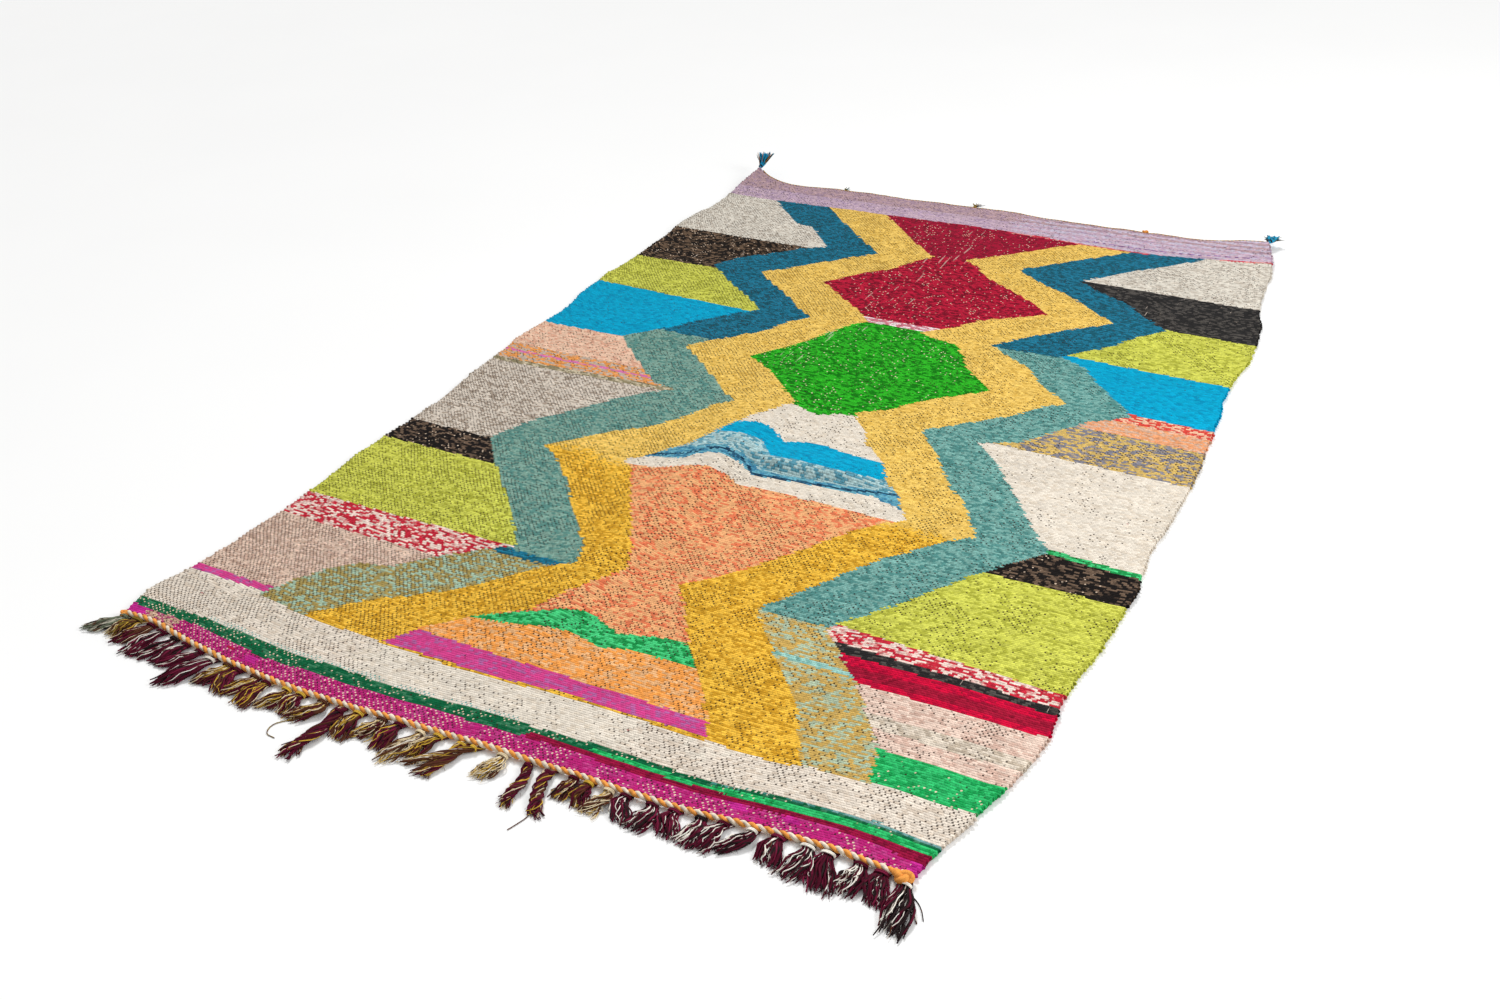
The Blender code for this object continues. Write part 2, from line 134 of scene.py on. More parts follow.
def smooth_curve(table, values, index=1):
    """A table's column at many places, on a smooth curve through its rows, flat past both ends."""
    at = np.array([row[0] for row in table], float)
    to = np.array([row[index] for row in table], float)
    slope = np.gradient(to, at)
    values = np.clip(values, at[0], at[-1])
    i = np.clip(np.searchsorted(at, values, side="right") - 1, 0, len(at) - 2)
    span = at[i + 1] - at[i]
    t = (values - at[i]) / span
    start = (1 + 2 * t) * (1 - t) ** 2 * to[i] + t * (1 - t) ** 2 * span * slope[i]
    end = t * t * (3 - 2 * t) * to[i + 1] + t * t * (t - 1) * span * slope[i + 1]
    return start + end


def between(a, b, share):
    return a + (b - a) * share


def outline_places(u, v):
    """Places seen from above for shares u across the weft and v along the warp."""
    near_x = between(FRINGED_END[0][0], FRINGED_END[-1][0], u)
    far_x = between(PLAIN_END[0][0], PLAIN_END[-1][0], u)
    left_y = between(LEFT_SIDE[0][0], LEFT_SIDE[-1][0], v)
    right_y = between(RIGHT_SIDE[0][0], RIGHT_SIDE[-1][0], v)
    near = np.array([near_x, smooth_curve(FRINGED_END, near_x)])
    far = np.array([far_x, smooth_curve(PLAIN_END, far_x)])
    left = np.array([smooth_curve(LEFT_SIDE, left_y), left_y])
    right = np.array([smooth_curve(RIGHT_SIDE, right_y), right_y])
    corners = [FRINGED_END[0], FRINGED_END[-1], PLAIN_END[0], PLAIN_END[-1]]
    corners = [np.array(corner)[:, None] for corner in corners]
    straight = between(between(corners[0], corners[1], u), between(corners[2], corners[3], u), v)
    return between(near, far, v) + between(left, right, u) - straight


around = np.linspace(0.0, 1.0, 600)
rim = np.hstack([outline_places(around * 0 + side, around) for side in (0.0, 1.0)]
                + [outline_places(around, around * 0 + end) for end in (0.0, 1.0)])
cloth_low, cloth_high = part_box("rug_cloth")
MIDDLE = np.array([
    (rim[0].min() + rim[0].max() - cloth_low[0] - cloth_high[0]) / 2,
    (rim[1].min() + rim[1].max() - cloth_low[1] - cloth_high[1]) / 2,
    0.0,
])
print("the part's middle in the outline's sizes:", MIDDLE.round(4))

# %% [markdown]
# ## The camera
#
# The four woven corners in the photo fix where it was taken from: about 1.5 m above the floor, to
# the right of the fringed end, with a lens of usual width and a slight roll. The camera is made
# first, because every later choice of colour and fold is judged through it.

# %% The camera
AZIMUTH = math.radians(30.134)
ELEVATION = math.radians(32.486)
ROLL = math.radians(-3.790)
DISTANCE = 2.8234
AIM = Vector((0.0920, -0.3958, 0.0)) - Vector(MIDDLE)
LENS = 34.81

back = Vector((
    math.sin(AZIMUTH) * math.cos(ELEVATION),
    -math.cos(AZIMUTH) * math.cos(ELEVATION),
    math.sin(ELEVATION),
))
level_right = Vector((math.cos(AZIMUTH), math.sin(AZIMUTH), 0.0))
level_up = back.cross(level_right)
right = level_right * math.cos(ROLL) + level_up * math.sin(ROLL)
up = level_up * math.cos(ROLL) - level_right * math.sin(ROLL)
eye = AIM + back * DISTANCE
bpy.ops.object.camera_add(location=eye)
camera = bpy.context.object
camera.name = "camera"
camera.rotation_euler = Matrix((right, up, back)).transposed().to_euler()
camera.data.lens = LENS
camera.data.sensor_width = 36.0
camera.data.clip_start = 0.05
bpy.context.scene.camera = camera
print("camera at", [round(c, 3) for c in eye])

# %% [markdown]
# ## Sockets that add up
#
# A procedural finish is arithmetic on maps of numbers. Wiring Math nodes by hand hides that, so a
# small class wraps a node's output and lets `1 - mask` or `a * b + c` add the nodes. Every other
# node comes from its one method `node`, which takes the node's type, its settings and its inputs.

# %% The socket class
class Wire:
    """One output of a shader node, with arithmetic that adds Math nodes to the same material."""

    def __init__(self, tree, socket=None):
        self.tree = tree
        self.socket = socket

    def node(self, kind, settings=None, inputs=None, output=0):
        made = self.tree.nodes.new("ShaderNode" + kind)
        for name, value in (settings or {}).items():
            if name == "stops":
                set_stops(made.color_ramp, value)
            elif name == "points":
                set_points(made.mapping, value)
            else:
                setattr(made, name, value)
        for name, value in (inputs or {}).items():
            if isinstance(value, Wire):
                self.tree.links.new(value.socket, made.inputs[name])
            else:
                made.inputs[name].default_value = value
        return Wire(self.tree, made.outputs[output])

    def beside(self, output):
        """Another output of the same node."""
        return Wire(self.tree, self.socket.node.outputs[output])

    def math(self, operation, *values):
        return self.node("Math", {"operation": operation}, dict(enumerate(values)))

    def mix(self, a, b):
        """Colour a where this is 0 and colour b where it is 1."""
        return self.node("Mix", {"data_type": "RGBA"}, {0: self, 6: a, 7: b}, 2)

    def whole(self):
        """The whole number just below this one."""
        return self.math("FLOOR", self)

    def clamped(self):
        """This number held between 0 and 1."""
        return self.node("Clamp", {}, {0: self})

    def shade(self, amount):
        """This colour made lighter or darker by an amount."""
        return self.node("VectorMath", {"operation": "SCALE"}, {0: self, 3: amount})

    def __add__(self, other):
        return self.math("ADD", self, other)

    def __radd__(self, other):
        return self.math("ADD", other, self)

    def __sub__(self, other):
        return self.math("SUBTRACT", self, other)

    def __rsub__(self, other):
        return self.math("SUBTRACT", other, self)

    def __mul__(self, other):
        return self.math("MULTIPLY", self, other)

    def __rmul__(self, other):
        return self.math("MULTIPLY", other, self)

    def __truediv__(self, other):
        return self.math("DIVIDE", self, other)

    def __gt__(self, other):
        return self.math("GREATER_THAN", self, other)

    def __lt__(self, other):
        return self.math("LESS_THAN", self, other)


def set_stops(ramp, stops):
    """Stops of (place, colour with alpha), each held flat up to the next."""
    ramp.interpolation = "CONSTANT"
    ramp.elements.remove(ramp.elements[1])
    ramp.elements[0].position = stops[0][0]
    ramp.elements[0].color = stops[0][1]
    for place, colour in stops[1:]:
        ramp.elements.new(place).color = colour


def set_points(mapping, points):
    """Straight lines through the points, which run from 0 to 1 both ways."""
    line = mapping.curves[0]
    line.points[0].location = points[0]
    line.points[1].location = points[-1]
    for point in points[1:-1]:
        line.points.new(*point)
    for point in line.points:
        point.handle_type = "VECTOR"
    mapping.update()


def linear(tone):
    """A colour written as #rrggbb, turned into the light values that shaders use."""
    parts = [int(tone[i:i + 2], 16) / 255 for i in (1, 3, 5)]
    return tuple(p / 12.92 if p < 0.04045 else ((p + 0.055) / 1.055) ** 2.4 for p in parts)


def new_finish(name, roughness=0.95, sheen=0.01):
    """A dull fibre finish, and a wire to start its nodes from."""
    finish = bpy.data.materials.new(name)
    finish.use_nodes = True
    shader = finish.node_tree.nodes["Principled BSDF"]
    shader.inputs["Roughness"].default_value = roughness
    shader.inputs["Specular IOR Level"].default_value = 0.03
    shader.inputs["Sheen Weight"].default_value = sheen
    shader.inputs["Sheen Roughness"].default_value = 0.6
    return finish, shader, Wire(finish.node_tree)


# %% [markdown]
# ## Floor and light
#
# The rug lies on a plain white floor in soft studio light. A broad far light from past the plain
# end, on the left, puts the ridge's right flank and the pleat's near flank in gentle shade. A
# nearer lamp on the right makes that side of the rug a little brighter, as in the photo.

# %% Floor and light
FLOOR_DROP = 0.0003

bpy.ops.mesh.primitive_plane_add(size=80.0, location=(0.0, 0.0, -FLOOR_DROP))
floor = bpy.context.object
floor.name = "floor"
finish, shader, wire = new_finish("pale_floor", roughness=0.7, sheen=0.0)
place = wire.node("TexCoord", output="Object")
cloud = wire.node("TexNoise", {}, {"Vector": place, "Scale": 1.5, "Detail": 2.0})
pale = cloud.mix((0.92, 0.92, 0.915, 1.0), (0.95, 0.95, 0.945, 1.0))
finish.node_tree.links.new(pale.socket, shader.inputs["Base Color"])
floor.data.materials.append(finish)


def add_light(kind, name, place, target, energy, width):
    """A light that looks at its target. The width is an angle for a far light, else a size."""
    bpy.ops.object.light_add(type=kind, location=place)
    lamp = bpy.context.object
    lamp.name = name
    lamp.data.energy = energy
    if kind == "SUN":
        lamp.data.angle = width
    else:
        lamp.data.size = width
    lamp.rotation_euler = (Vector(place) - Vector(target)).to_track_quat("Z", "Y").to_euler()
    print(name, "at", place, "energy", energy)


add_light("SUN", "far_light", (-2.1, 2.7, 3.2), (0.0, 0.0, 0.0), 2.1, math.radians(16))
add_light("AREA", "right_lamp", (2.9, 0.0, 1.9), (0.4, 0.0, 0.0), 54.0, 1.6)

world = bpy.context.scene.world or bpy.data.worlds.new("surround")
bpy.context.scene.world = world
world.use_nodes = True
surround = world.node_tree.nodes["Background"]
surround.inputs["Color"].default_value = (1.0, 1.0, 1.0, 1.0)
surround.inputs["Strength"].default_value = 0.50
bpy.context.scene.view_settings.view_transform = "Standard"

# %% [markdown]
# ## The folds
#
# The rug was folded lengthwise and across before it was laid out, and it keeps soft ridges where
# the folds were. Each fold is a crest line with a height and a reach to each side. They are placed
# as on the plain solids, and a fine unevenness is laid over them. It only ever lifts the
# cloth, so the underside still rests flat on the floor.

# %% Heights of the folds
RIDGE = [
    # y, crest x, height
    (-1.060, -0.060, 0.000),
    (-0.940, -0.055, 0.014),
    (-0.820, -0.050, 0.020),
    (-0.600, -0.040, 0.024),
    (-0.420, -0.035, 0.027),
    (-0.290, -0.030, 0.029),
    (-0.150, -0.030, 0.020),
    (0.000, -0.025, 0.012),
    (0.250, -0.020, 0.009),
    (0.450, -0.020, 0.000),
]
RIDGE_REACH_LEFT = 0.150
RIDGE_REACH_RIGHT = 0.085
PLEAT = [
    # x, crest y, height
    (-0.120, -0.235, 0.000),
    (-0.030, -0.240, 0.006),
    (0.060, -0.262, 0.016),
    (0.200, -0.262, 0.015),
    (0.290, -0.250, 0.009),
    (0.360, -0.240, 0.000),
]
PLEAT_REACH_FAR = 0.100
PLEAT_REACH_NEAR = 0.028
HUMPS = [
    # x, y, reach across, reach along, height
    (-0.500, 0.770, 0.115, 0.150, 0.016),
    (-0.735, 0.800, 0.080, 0.120, 0.007),
    (-0.230, 0.900, 0.160, 0.120, 0.005),
    (0.480, 0.560, 0.200, 0.160, 0.005),
    (0.760, 1.170, 0.230, 0.210, 0.015),
    (-0.450, -0.550, 0.180, 0.200, 0.005),
    (0.560, -0.760, 0.180, 0.150, 0.005),
]
CURL_CORNER = (-0.711, 1.177)
CURL_REACH = 0.200
CURL_HEIGHT = 0.034
UNEVEN = [
    # size of the waves across, along, lift
    (0.140, 0.090, 0.0032),
    (0.060, 0.034, 0.0022),
    (0.026, 0.019, 0.0010),
]


def bump(distance, reach):
    """One at no distance, falling smoothly to nothing at the reach."""
    share = np.minimum(np.abs(distance) / reach, 1.0)
    return (1 - share * share) ** 2


def within(values, low, high):
    return ((values >= low) & (values <= high)).astype(float)


def fold_height(x, y):
    """Height of the cloth's underside over the floor, from the named folds."""
    crest = smooth_curve(RIDGE, y, 1)
    reach = np.where(x < crest, RIDGE_REACH_LEFT, RIDGE_REACH_RIGHT)
    height = np.maximum(0.0, smooth_curve(RIDGE, y, 2)) * bump(x - crest, reach)
    height = height * within(y, RIDGE[0][0], RIDGE[-1][0])
    crest = smooth_curve(PLEAT, x, 1)
    reach = np.where(y > crest, PLEAT_REACH_FAR, PLEAT_REACH_NEAR)
    pleat = np.maximum(0.0, smooth_curve(PLEAT, x, 2)) * bump(y - crest, reach)
    height = height + pleat * within(x, PLEAT[0][0], PLEAT[-1][0])
    for centre_x, centre_y, across, along, lift in HUMPS:
        height = height + lift * bump(np.hypot((x - centre_x) / across, (y - centre_y) / along), 1.0)
    corner = np.hypot(x - CURL_CORNER[0], y - CURL_CORNER[1])
    return height + CURL_HEIGHT * np.maximum(0.0, 1 - corner / CURL_REACH) ** 2


def waves(x, y, seed=0.0):
    """Soft uneven waves between about -1 and 1, the same on every run."""
    return np.array([noise.noise(Vector((a, b, seed))) for a, b in zip(x, y)])


def fine_height(x, y):
    """The small unevenness that a beaten weave keeps, never below the floor."""
    lift = np.zeros_like(x)
    for k, (across, along, most) in enumerate(UNEVEN):
        lift += most * np.maximum(0.0, waves(x / across, y / along, 3.1 * k) + 0.15)
    return lift


print("ridge crest:", round(float(fold_height(np.array([-0.03]), np.array([-0.29]))[0]), 4), "m")

# %% [markdown]
# ## The cloth
#
# The cloth is one sheet about 5 mm thick. A flat grid would do for a machine-made mat, but here the
# outline wanders, so the grid is bent to the four sides first, then lifted to the folds, and then
# Solidify gives it its thickness upwards. The rows of the grid crowd together at the pleat, whose
# crease is sharp. Two attributes go with the sheet. "weave" counts along the weft and the warp, so
# the beads of yarn follow the cloth's own rows. "chart" says which place of the weaver's chart a
# point shows. The chart was drawn from the photo as if the rug were quite flat, so a raised point
# reads it where a line from the photo's viewpoint through that point meets the floor.

# %% The woven sheet
CLOTH_THICKNESS = 0.005
SELVEDGE_EXTRA = 0.0015
SELVEDGE_SHARE = 0.02
SELVEDGE_LUMPS = [
    # size of the lumps along the selvedge, how far they stand out
    (0.060, 0.0036),
    (0.018, 0.0022),
]
EDGE_CHAMFER = 0.0012
RIM_CELL = 0.25
CLOTH_COLUMNS = 178
CLOTH_ROWS = 262
PLEAT_SHARE = 0.393
CROWDING = 0.55
WEAVE_WIDTH, WEAVE_LENGTH = 1.60, 2.37
CHART_SHIFT_X = -0.003


def on_chart(x, y, z):
    """Where the line from the viewpoint through a raised point meets the chart's flat plane."""
    from_x = eye.x + MIDDLE[0]
    from_y = eye.y + MIDDLE[1]
    stretch = eye.z / (eye.z - z)
    return from_x + (x - from_x) * stretch + CHART_SHIFT_X, from_y + (y - from_y) * stretch


def set_attribute(mesh, name, values, kind="FLOAT_VECTOR"):
    values = np.ascontiguousarray(values, dtype=np.float32)
    layer = mesh.attributes.new(name, kind, "POINT")
    layer.data.foreach_set("color" if kind == "FLOAT_COLOR" else "vector", values.ravel())


def selvedge_lump(y, side):
    """How far the selvedge stands out of its smooth line, at places along it."""
    total = np.zeros_like(y)
    for k, (size, out) in enumerate(SELVEDGE_LUMPS):
        total += out * waves(y / size, y * 0 + 7.3 * side + k)
    return total


bpy.ops.mesh.primitive_grid_add(x_subdivisions=CLOTH_COLUMNS, y_subdivisions=CLOTH_ROWS, size=1.0)
cloth = bpy.context.object
cloth.name = "woven_cloth"
mesh = cloth.data
count = len(mesh.vertices)
flat = np.empty(count * 3)
mesh.vertices.foreach_get("co", flat)
flat = flat.reshape(-1, 3)
u, v = flat[:, 0] + 0.5, flat[:, 1] + 0.5
at_pleat = math.sin(math.tau * PLEAT_SHARE)
v = v - CROWDING / math.tau * (np.sin(math.tau * (v - PLEAT_SHARE)) + at_pleat)
x, y = outline_places(u, v)
x += selvedge_lump(y, 1) * np.clip(u * 2 - 1, 0, 1) ** 4
x -= selvedge_lump(y, 2) * np.clip(1 - u * 2, 0, 1) ** 4
z = fold_height(x, y) + fine_height(x, y)
mesh.vertices.foreach_set("co", (np.stack([x, y, z], axis=1) - MIDDLE).ravel())
chart_x, chart_y = on_chart(x, y, z + CLOTH_THICKNESS)
set_attribute(mesh, "chart", np.stack([chart_x, chart_y, z * 0], axis=1))
set_attribute(mesh, "weave", np.stack([u * WEAVE_WIDTH, v * WEAVE_LENGTH, z * 0], axis=1))
edge_share = np.maximum(bump(u, SELVEDGE_SHARE), bump(1 - u, SELVEDGE_SHARE))

solidify = cloth.modifiers.new("thickness", "SOLIDIFY")
solidify.thickness = CLOTH_THICKNESS
solidify.offset = 1.0
bpy.ops.object.modifier_apply(modifier=solidify.name)

co = np.empty(len(mesh.vertices) * 3)
mesh.vertices.foreach_get("co", co)
co = co.reshape(-1, 3)
first_is_top = co[:count, 2].mean() > co[count:, 2].mean()
top = slice(0, count) if first_is_top else slice(count, 2 * count)
co[top, 2] += SELVEDGE_EXTRA * edge_share
edge = RIM_CELL / CLOTH_COLUMNS
co[top, 0] += EDGE_CHAMFER * ((u < edge).astype(float) - (u > 1 - edge))
edge = RIM_CELL / CLOTH_ROWS
co[top, 1] += EDGE_CHAMFER * ((v < edge).astype(float) - (v > 1 - edge))
mesh.vertices.foreach_set("co", co.ravel())
mesh.update()
bpy.ops.object.shade_smooth_by_angle(angle=math.radians(50))
triangles = sum(len(p.vertices) - 2 for p in mesh.polygons)
print("cloth:", triangles, "triangles, underside from", round(float(co[:, 2].min()), 5), "m")

# %% [markdown]
# ## The balls of yarn
#
# A weaver works from balls of yarn, and most of these are mixed: a main colour with flecks of a
# second one. Each ball gets a row with both colours, the share of flecks, and how readily the warp
# shows between its beads. In the material each ball has a number, and colour ramps hand out its
# colours for that number. A ramp holds 32 stops at most, so the balls are split over two ramps.

# %% Yarns
YARNS = {
    # name: main colour, fleck colour, share of flecks, share of warp showing
    "cream": ("#dfd5c6", "#d3c6b4", 0.20, 0.28),
    "far_cream": ("#d8d1c4", "#b5aa9c", 0.28, 0.55),
    "grey_white": ("#d2c6b8", "#9a8a7a", 0.28, 0.80),
    "black": ("#1a1615", "#6f5b4b", 0.24, 0.18),
    "brown_black": ("#1d1714", "#6d5846", 0.32, 0.16),
    "charcoal": ("#262525", "#4f4b47", 0.30, 0.04),
    "lime": ("#c9cb56", "#a2a438", 0.34, 0.62),
    "bright_blue": ("#009fc6", "#0088b2", 0.20, 0.08),
    "peach": ("#e4bfa5", "#d39d84", 0.30, 0.30),
    "orange_mix": ("#df9450", "#b7aca0", 0.42, 0.25),
    "pink_line": ("#d070a8", "#e39a4e", 0.30, 0.10),
    "olive_line": ("#8a8062", "#c9bba0", 0.40, 0.30),
    "red_mix": ("#ba2638", "#e6d4c8", 0.45, 0.20),
    "red_orange": ("#d0453a", "#e8c0a0", 0.40, 0.12),
    "orange_peach": ("#e29a6c", "#cfae98", 0.40, 0.20),
    "pale_pink": ("#e0c6b6", "#c8a696", 0.30, 0.75),
    "beige": ("#d6c9b8", "#b2a390", 0.32, 0.45),
    "magenta": ("#ca4084", "#a8609a", 0.24, 0.10),
    "fleck_magenta": ("#b32270", "#b83c80", 0.34, 1.25),
    "forest": ("#0a5c38", "#3c7a58", 0.24, 0.46),
    "emerald": ("#44c478", "#10803c", 0.42, 0.34),
    "bright_green": ("#30b668", "#149048", 0.42, 0.30),
    "teal_grey": ("#6f9f9c", "#2f7467", 0.42, 0.20),
    "burgundy": ("#90123a", "#6d0d2b", 0.35, 0.04),
    "crimson": ("#ca0c38", "#a20a32", 0.32, 0.10),
    "dark_red": ("#a01634", "#84102a", 0.30, 0.04),
    "top_red": ("#a21434", "#781228", 0.36, 0.36),
    "lozenge_red": ("#b21836", "#6c0a20", 0.38, 0.40),
    "pink_mottle": ("#c2707e", "#eee0e0", 0.45, 0.00),
    "grass": ("#2cac22", "#0a6c0c", 0.42, 0.42),
    "petrol": ("#1d6f8b", "#155060", 0.44, 0.40),
    "sage": ("#7b9e91", "#4f827b", 0.46, 0.55),
    "teal": ("#74a49c", "#467e7a", 0.46, 0.50),
    "teal_streak": ("#93c2b8", "#6fa39a", 0.34, 0.10),
    "olive_speckle": ("#a08c50", "#9ab8a4", 0.42, 0.80),
    "khaki": ("#bf9d54", "#a4baa2", 0.38, 0.50),
    "gold": ("#eac365", "#d0a74a", 0.34, 0.70),
    "mustard": ("#e8b640", "#bd8a20", 0.42, 0.62),
    "peach_mix": ("#e6a874", "#dc6e4a", 0.32, 0.66),
    "low_orange": ("#e9984a", "#e2b07e", 0.40, 0.50),
    "mauve": ("#c2a8b6", "#ab92ac", 0.36, 0.30),
    "lavender": ("#c0b6c8", "#c4a2b2", 0.36, 0.20),
    "coral_line": ("#c93a4a", "#e09a90", 0.30, 0.05),
    "melange": ("#a6c4c6", "#468ca2", 0.44, 0.10),
    "denim": ("#66a6b8", "#347699", 0.44, 0.10),
    "open_cream": ("#dfd3c4", "#cfbfad", 0.24, 0.74),
    "teal_dots": ("#ddd4c6", "#cfc6b6", 0.20, 1.30),
    "corner_mix": ("#c3a088", "#a5306c", 0.42, 0.75),
    "left_pink": ("#d8bdab", "#bc9c8a", 0.34, 0.90),
    "solid_magenta": ("#c22c8e", "#ae207c", 0.30, 0.00),
    # Painted shadow: navy rows that stand for the shade under the pleat's fold.
    "pleat_shadow_navy": ("#1a3a52", "#2c5a74", 0.40, 0.00),
    "purple_stitch": ("#6c3f78", "#9a7fb4", 0.30, 0.00),
    "rose": ("#b6989c", "#a08698", 0.36, 0.30),
    "red_patch": ("#b0203e", "#8c1c4c", 0.40, 0.00),
    "brook": ("#ccac62", "#707488", 0.44, 0.70),
}
NUMBER = {name: k for k, name in enumerate(YARNS)}
RAMP_STOPS = 32
BALLS_PER_RAMP = 30
print(len(YARNS), "balls of yarn")


def pick_yarn(number, colour_column, share_column):
    """The colour and the share in two columns of YARNS, for a ball's number."""
    rows = list(YARNS.values())
    colour = share = None
    for start in range(0, len(rows), BALLS_PER_RAMP):
        stops = []
        for k, row in enumerate(rows[start:start + BALLS_PER_RAMP]):
            place = max(0.0, (k - 0.5) / RAMP_STOPS)
            stops.append((place, (*linear(row[colour_column]), row[share_column])))
        ramp = number.node("ValToRGB", {"stops": stops}, {0: (number - start) / RAMP_STOPS})
        if colour is None:
            colour, share = ramp, ramp.beside("Alpha")
        else:
            later = number > start - 0.5
            colour = later.mix(colour, ramp)
            share = share + later * (ramp.beside("Alpha") - share)
    return colour, share


# %% [markdown]
# ## The chart
#
# The design is a traditional one of Berber flat weaves: zigzag bands round a column of lozenges,
# with stripes of odd yarn between. It could be painted on, but a weave is built of rows, so it is
# charted the way a weaver thinks of it. Six zigzag lines part the seven columns of colour. Each is
# a short table of turning points, read off the rug in centimetres or so, and a Float Curve
# node gives the line's place across the weft for any row. Stripes are tables of row places.

# %% Zigzag lines
LEFT_OUTER_LINE = [
    # x, y
    (-0.595, 1.045), (-0.455, 0.905), (-0.405, 0.900), (-0.310, 0.785), (-0.360, 0.765),
    (-0.410, 0.720), (-0.500, 0.640), (-0.540, 0.573), (-0.510, 0.555), (-0.450, 0.500),
    (-0.370, 0.440), (-0.295, 0.380), (-0.360, 0.320), (-0.420, 0.255), (-0.470, 0.195),
    (-0.540, 0.130), (-0.500, 0.090), (-0.450, 0.045), (-0.400, 0.000), (-0.340, -0.050),
    (-0.275, -0.058), (-0.310, -0.075), (-0.370, -0.130), (-0.450, -0.240), (-0.500, -0.300),
    (-0.540, -0.395), (-0.465, -0.475), (-0.400, -0.540), (-0.330, -0.610), (-0.240, -0.710),
    (-0.300, -0.750), (-0.360, -0.800), (-0.420, -0.860), (-0.480, -0.875), (-0.530, -0.920),
    (-0.570, -0.985), (-0.590, -1.030),
]
LEFT_MIDDLE_LINE = [
    # x, y
    (-0.425, 1.045), (-0.355, 0.970), (-0.300, 0.925), (-0.250, 0.870), (-0.165, 0.797),
    (-0.230, 0.740), (-0.300, 0.675), (-0.350, 0.620), (-0.405, 0.583), (-0.360, 0.545),
    (-0.270, 0.475), (-0.200, 0.410), (-0.160, 0.385), (-0.200, 0.345), (-0.230, 0.280),
    (-0.300, 0.210), (-0.370, 0.140), (-0.300, 0.085), (-0.240, 0.035), (-0.180, -0.020),
    (-0.130, -0.055), (-0.165, -0.080), (-0.190, -0.140), (-0.240, -0.220), (-0.320, -0.280),
    (-0.360, -0.320), (-0.410, -0.380), (-0.370, -0.400), (-0.280, -0.485), (-0.200, -0.580),
    (-0.130, -0.650), (-0.105, -0.710), (-0.155, -0.745), (-0.200, -0.800), (-0.250, -0.860),
    (-0.320, -0.915), (-0.400, -0.970), (-0.460, -1.035),
]
LEFT_INNER_LINE = [
    # x, y
    (-0.255, 1.050), (-0.150, 0.945), (-0.050, 0.845), (-0.020, 0.825), (-0.050, 0.790),
    (-0.100, 0.710), (-0.160, 0.660), (-0.220, 0.583), (-0.150, 0.525), (-0.100, 0.485),
    (-0.050, 0.445), (-0.020, 0.412), (-0.050, 0.390), (-0.090, 0.320), (-0.110, 0.270),
    (-0.150, 0.210), (-0.205, 0.150), (-0.150, 0.120), (-0.100, 0.080), (-0.050, 0.030),
    (-0.005, -0.005), (-0.030, -0.040), (-0.070, -0.100), (-0.100, -0.170), (-0.130, -0.250),
    (-0.190, -0.330), (-0.225, -0.360), (-0.190, -0.385), (-0.150, -0.450), (-0.100, -0.530),
    (-0.050, -0.610), (-0.010, -0.690), (-0.050, -0.750), (-0.080, -0.810), (-0.100, -0.865),
    (-0.180, -0.920), (-0.250, -0.990), (-0.280, -1.045),
]
RIGHT_INNER_LINE = [
    # x, y
    (0.310, 1.040), (0.250, 1.000), (0.200, 0.950), (0.100, 0.865), (0.055, 0.835),
    (0.100, 0.810), (0.150, 0.755), (0.200, 0.720), (0.300, 0.655), (0.360, 0.603),
    (0.280, 0.555), (0.220, 0.515), (0.170, 0.450), (0.110, 0.405), (0.150, 0.388),
    (0.210, 0.378), (0.250, 0.330), (0.270, 0.290), (0.300, 0.255), (0.365, 0.197),
    (0.280, 0.130), (0.230, 0.080), (0.190, 0.035), (0.130, -0.005), (0.180, -0.060),
    (0.210, -0.115), (0.270, -0.165), (0.300, -0.225), (0.340, -0.260), (0.395, -0.347),
    (0.350, -0.375), (0.300, -0.440), (0.250, -0.520), (0.200, -0.590), (0.150, -0.655),
    (0.100, -0.695), (0.150, -0.750), (0.200, -0.830), (0.250, -0.885), (0.300, -0.950),
    (0.355, -1.030),
]
RIGHT_MIDDLE_LINE = [
    # x, y
    (0.450, 1.040), (0.350, 0.955), (0.250, 0.865), (0.205, 0.825), (0.300, 0.760),
    (0.360, 0.730), (0.450, 0.660), (0.515, 0.610), (0.440, 0.555), (0.350, 0.470),
    (0.290, 0.405), (0.350, 0.360), (0.400, 0.335), (0.450, 0.270), (0.535, 0.200),
    (0.490, 0.175), (0.450, 0.120), (0.350, 0.030), (0.290, -0.015), (0.360, -0.100),
    (0.430, -0.205), (0.470, -0.240), (0.535, -0.345), (0.500, -0.370), (0.410, -0.470),
    (0.370, -0.530), (0.300, -0.650), (0.265, -0.700), (0.340, -0.790), (0.450, -0.910),
    (0.510, -1.020),
]
RIGHT_OUTER_LINE = [
    # x, y
    (0.620, 1.050), (0.570, 1.000), (0.450, 0.895), (0.370, 0.812), (0.450, 0.760),
    (0.500, 0.735), (0.600, 0.645), (0.635, 0.620), (0.570, 0.550), (0.550, 0.505),
    (0.450, 0.405), (0.520, 0.375), (0.550, 0.330), (0.675, 0.200), (0.600, 0.150),
    (0.550, 0.085), (0.490, 0.010), (0.420, -0.020), (0.480, -0.085), (0.560, -0.190),
    (0.630, -0.290), (0.675, -0.340), (0.620, -0.400), (0.570, -0.460), (0.500, -0.570),
    (0.400, -0.700), (0.460, -0.765), (0.530, -0.840), (0.570, -0.900), (0.600, -0.940),
    (0.620, -1.010),
]

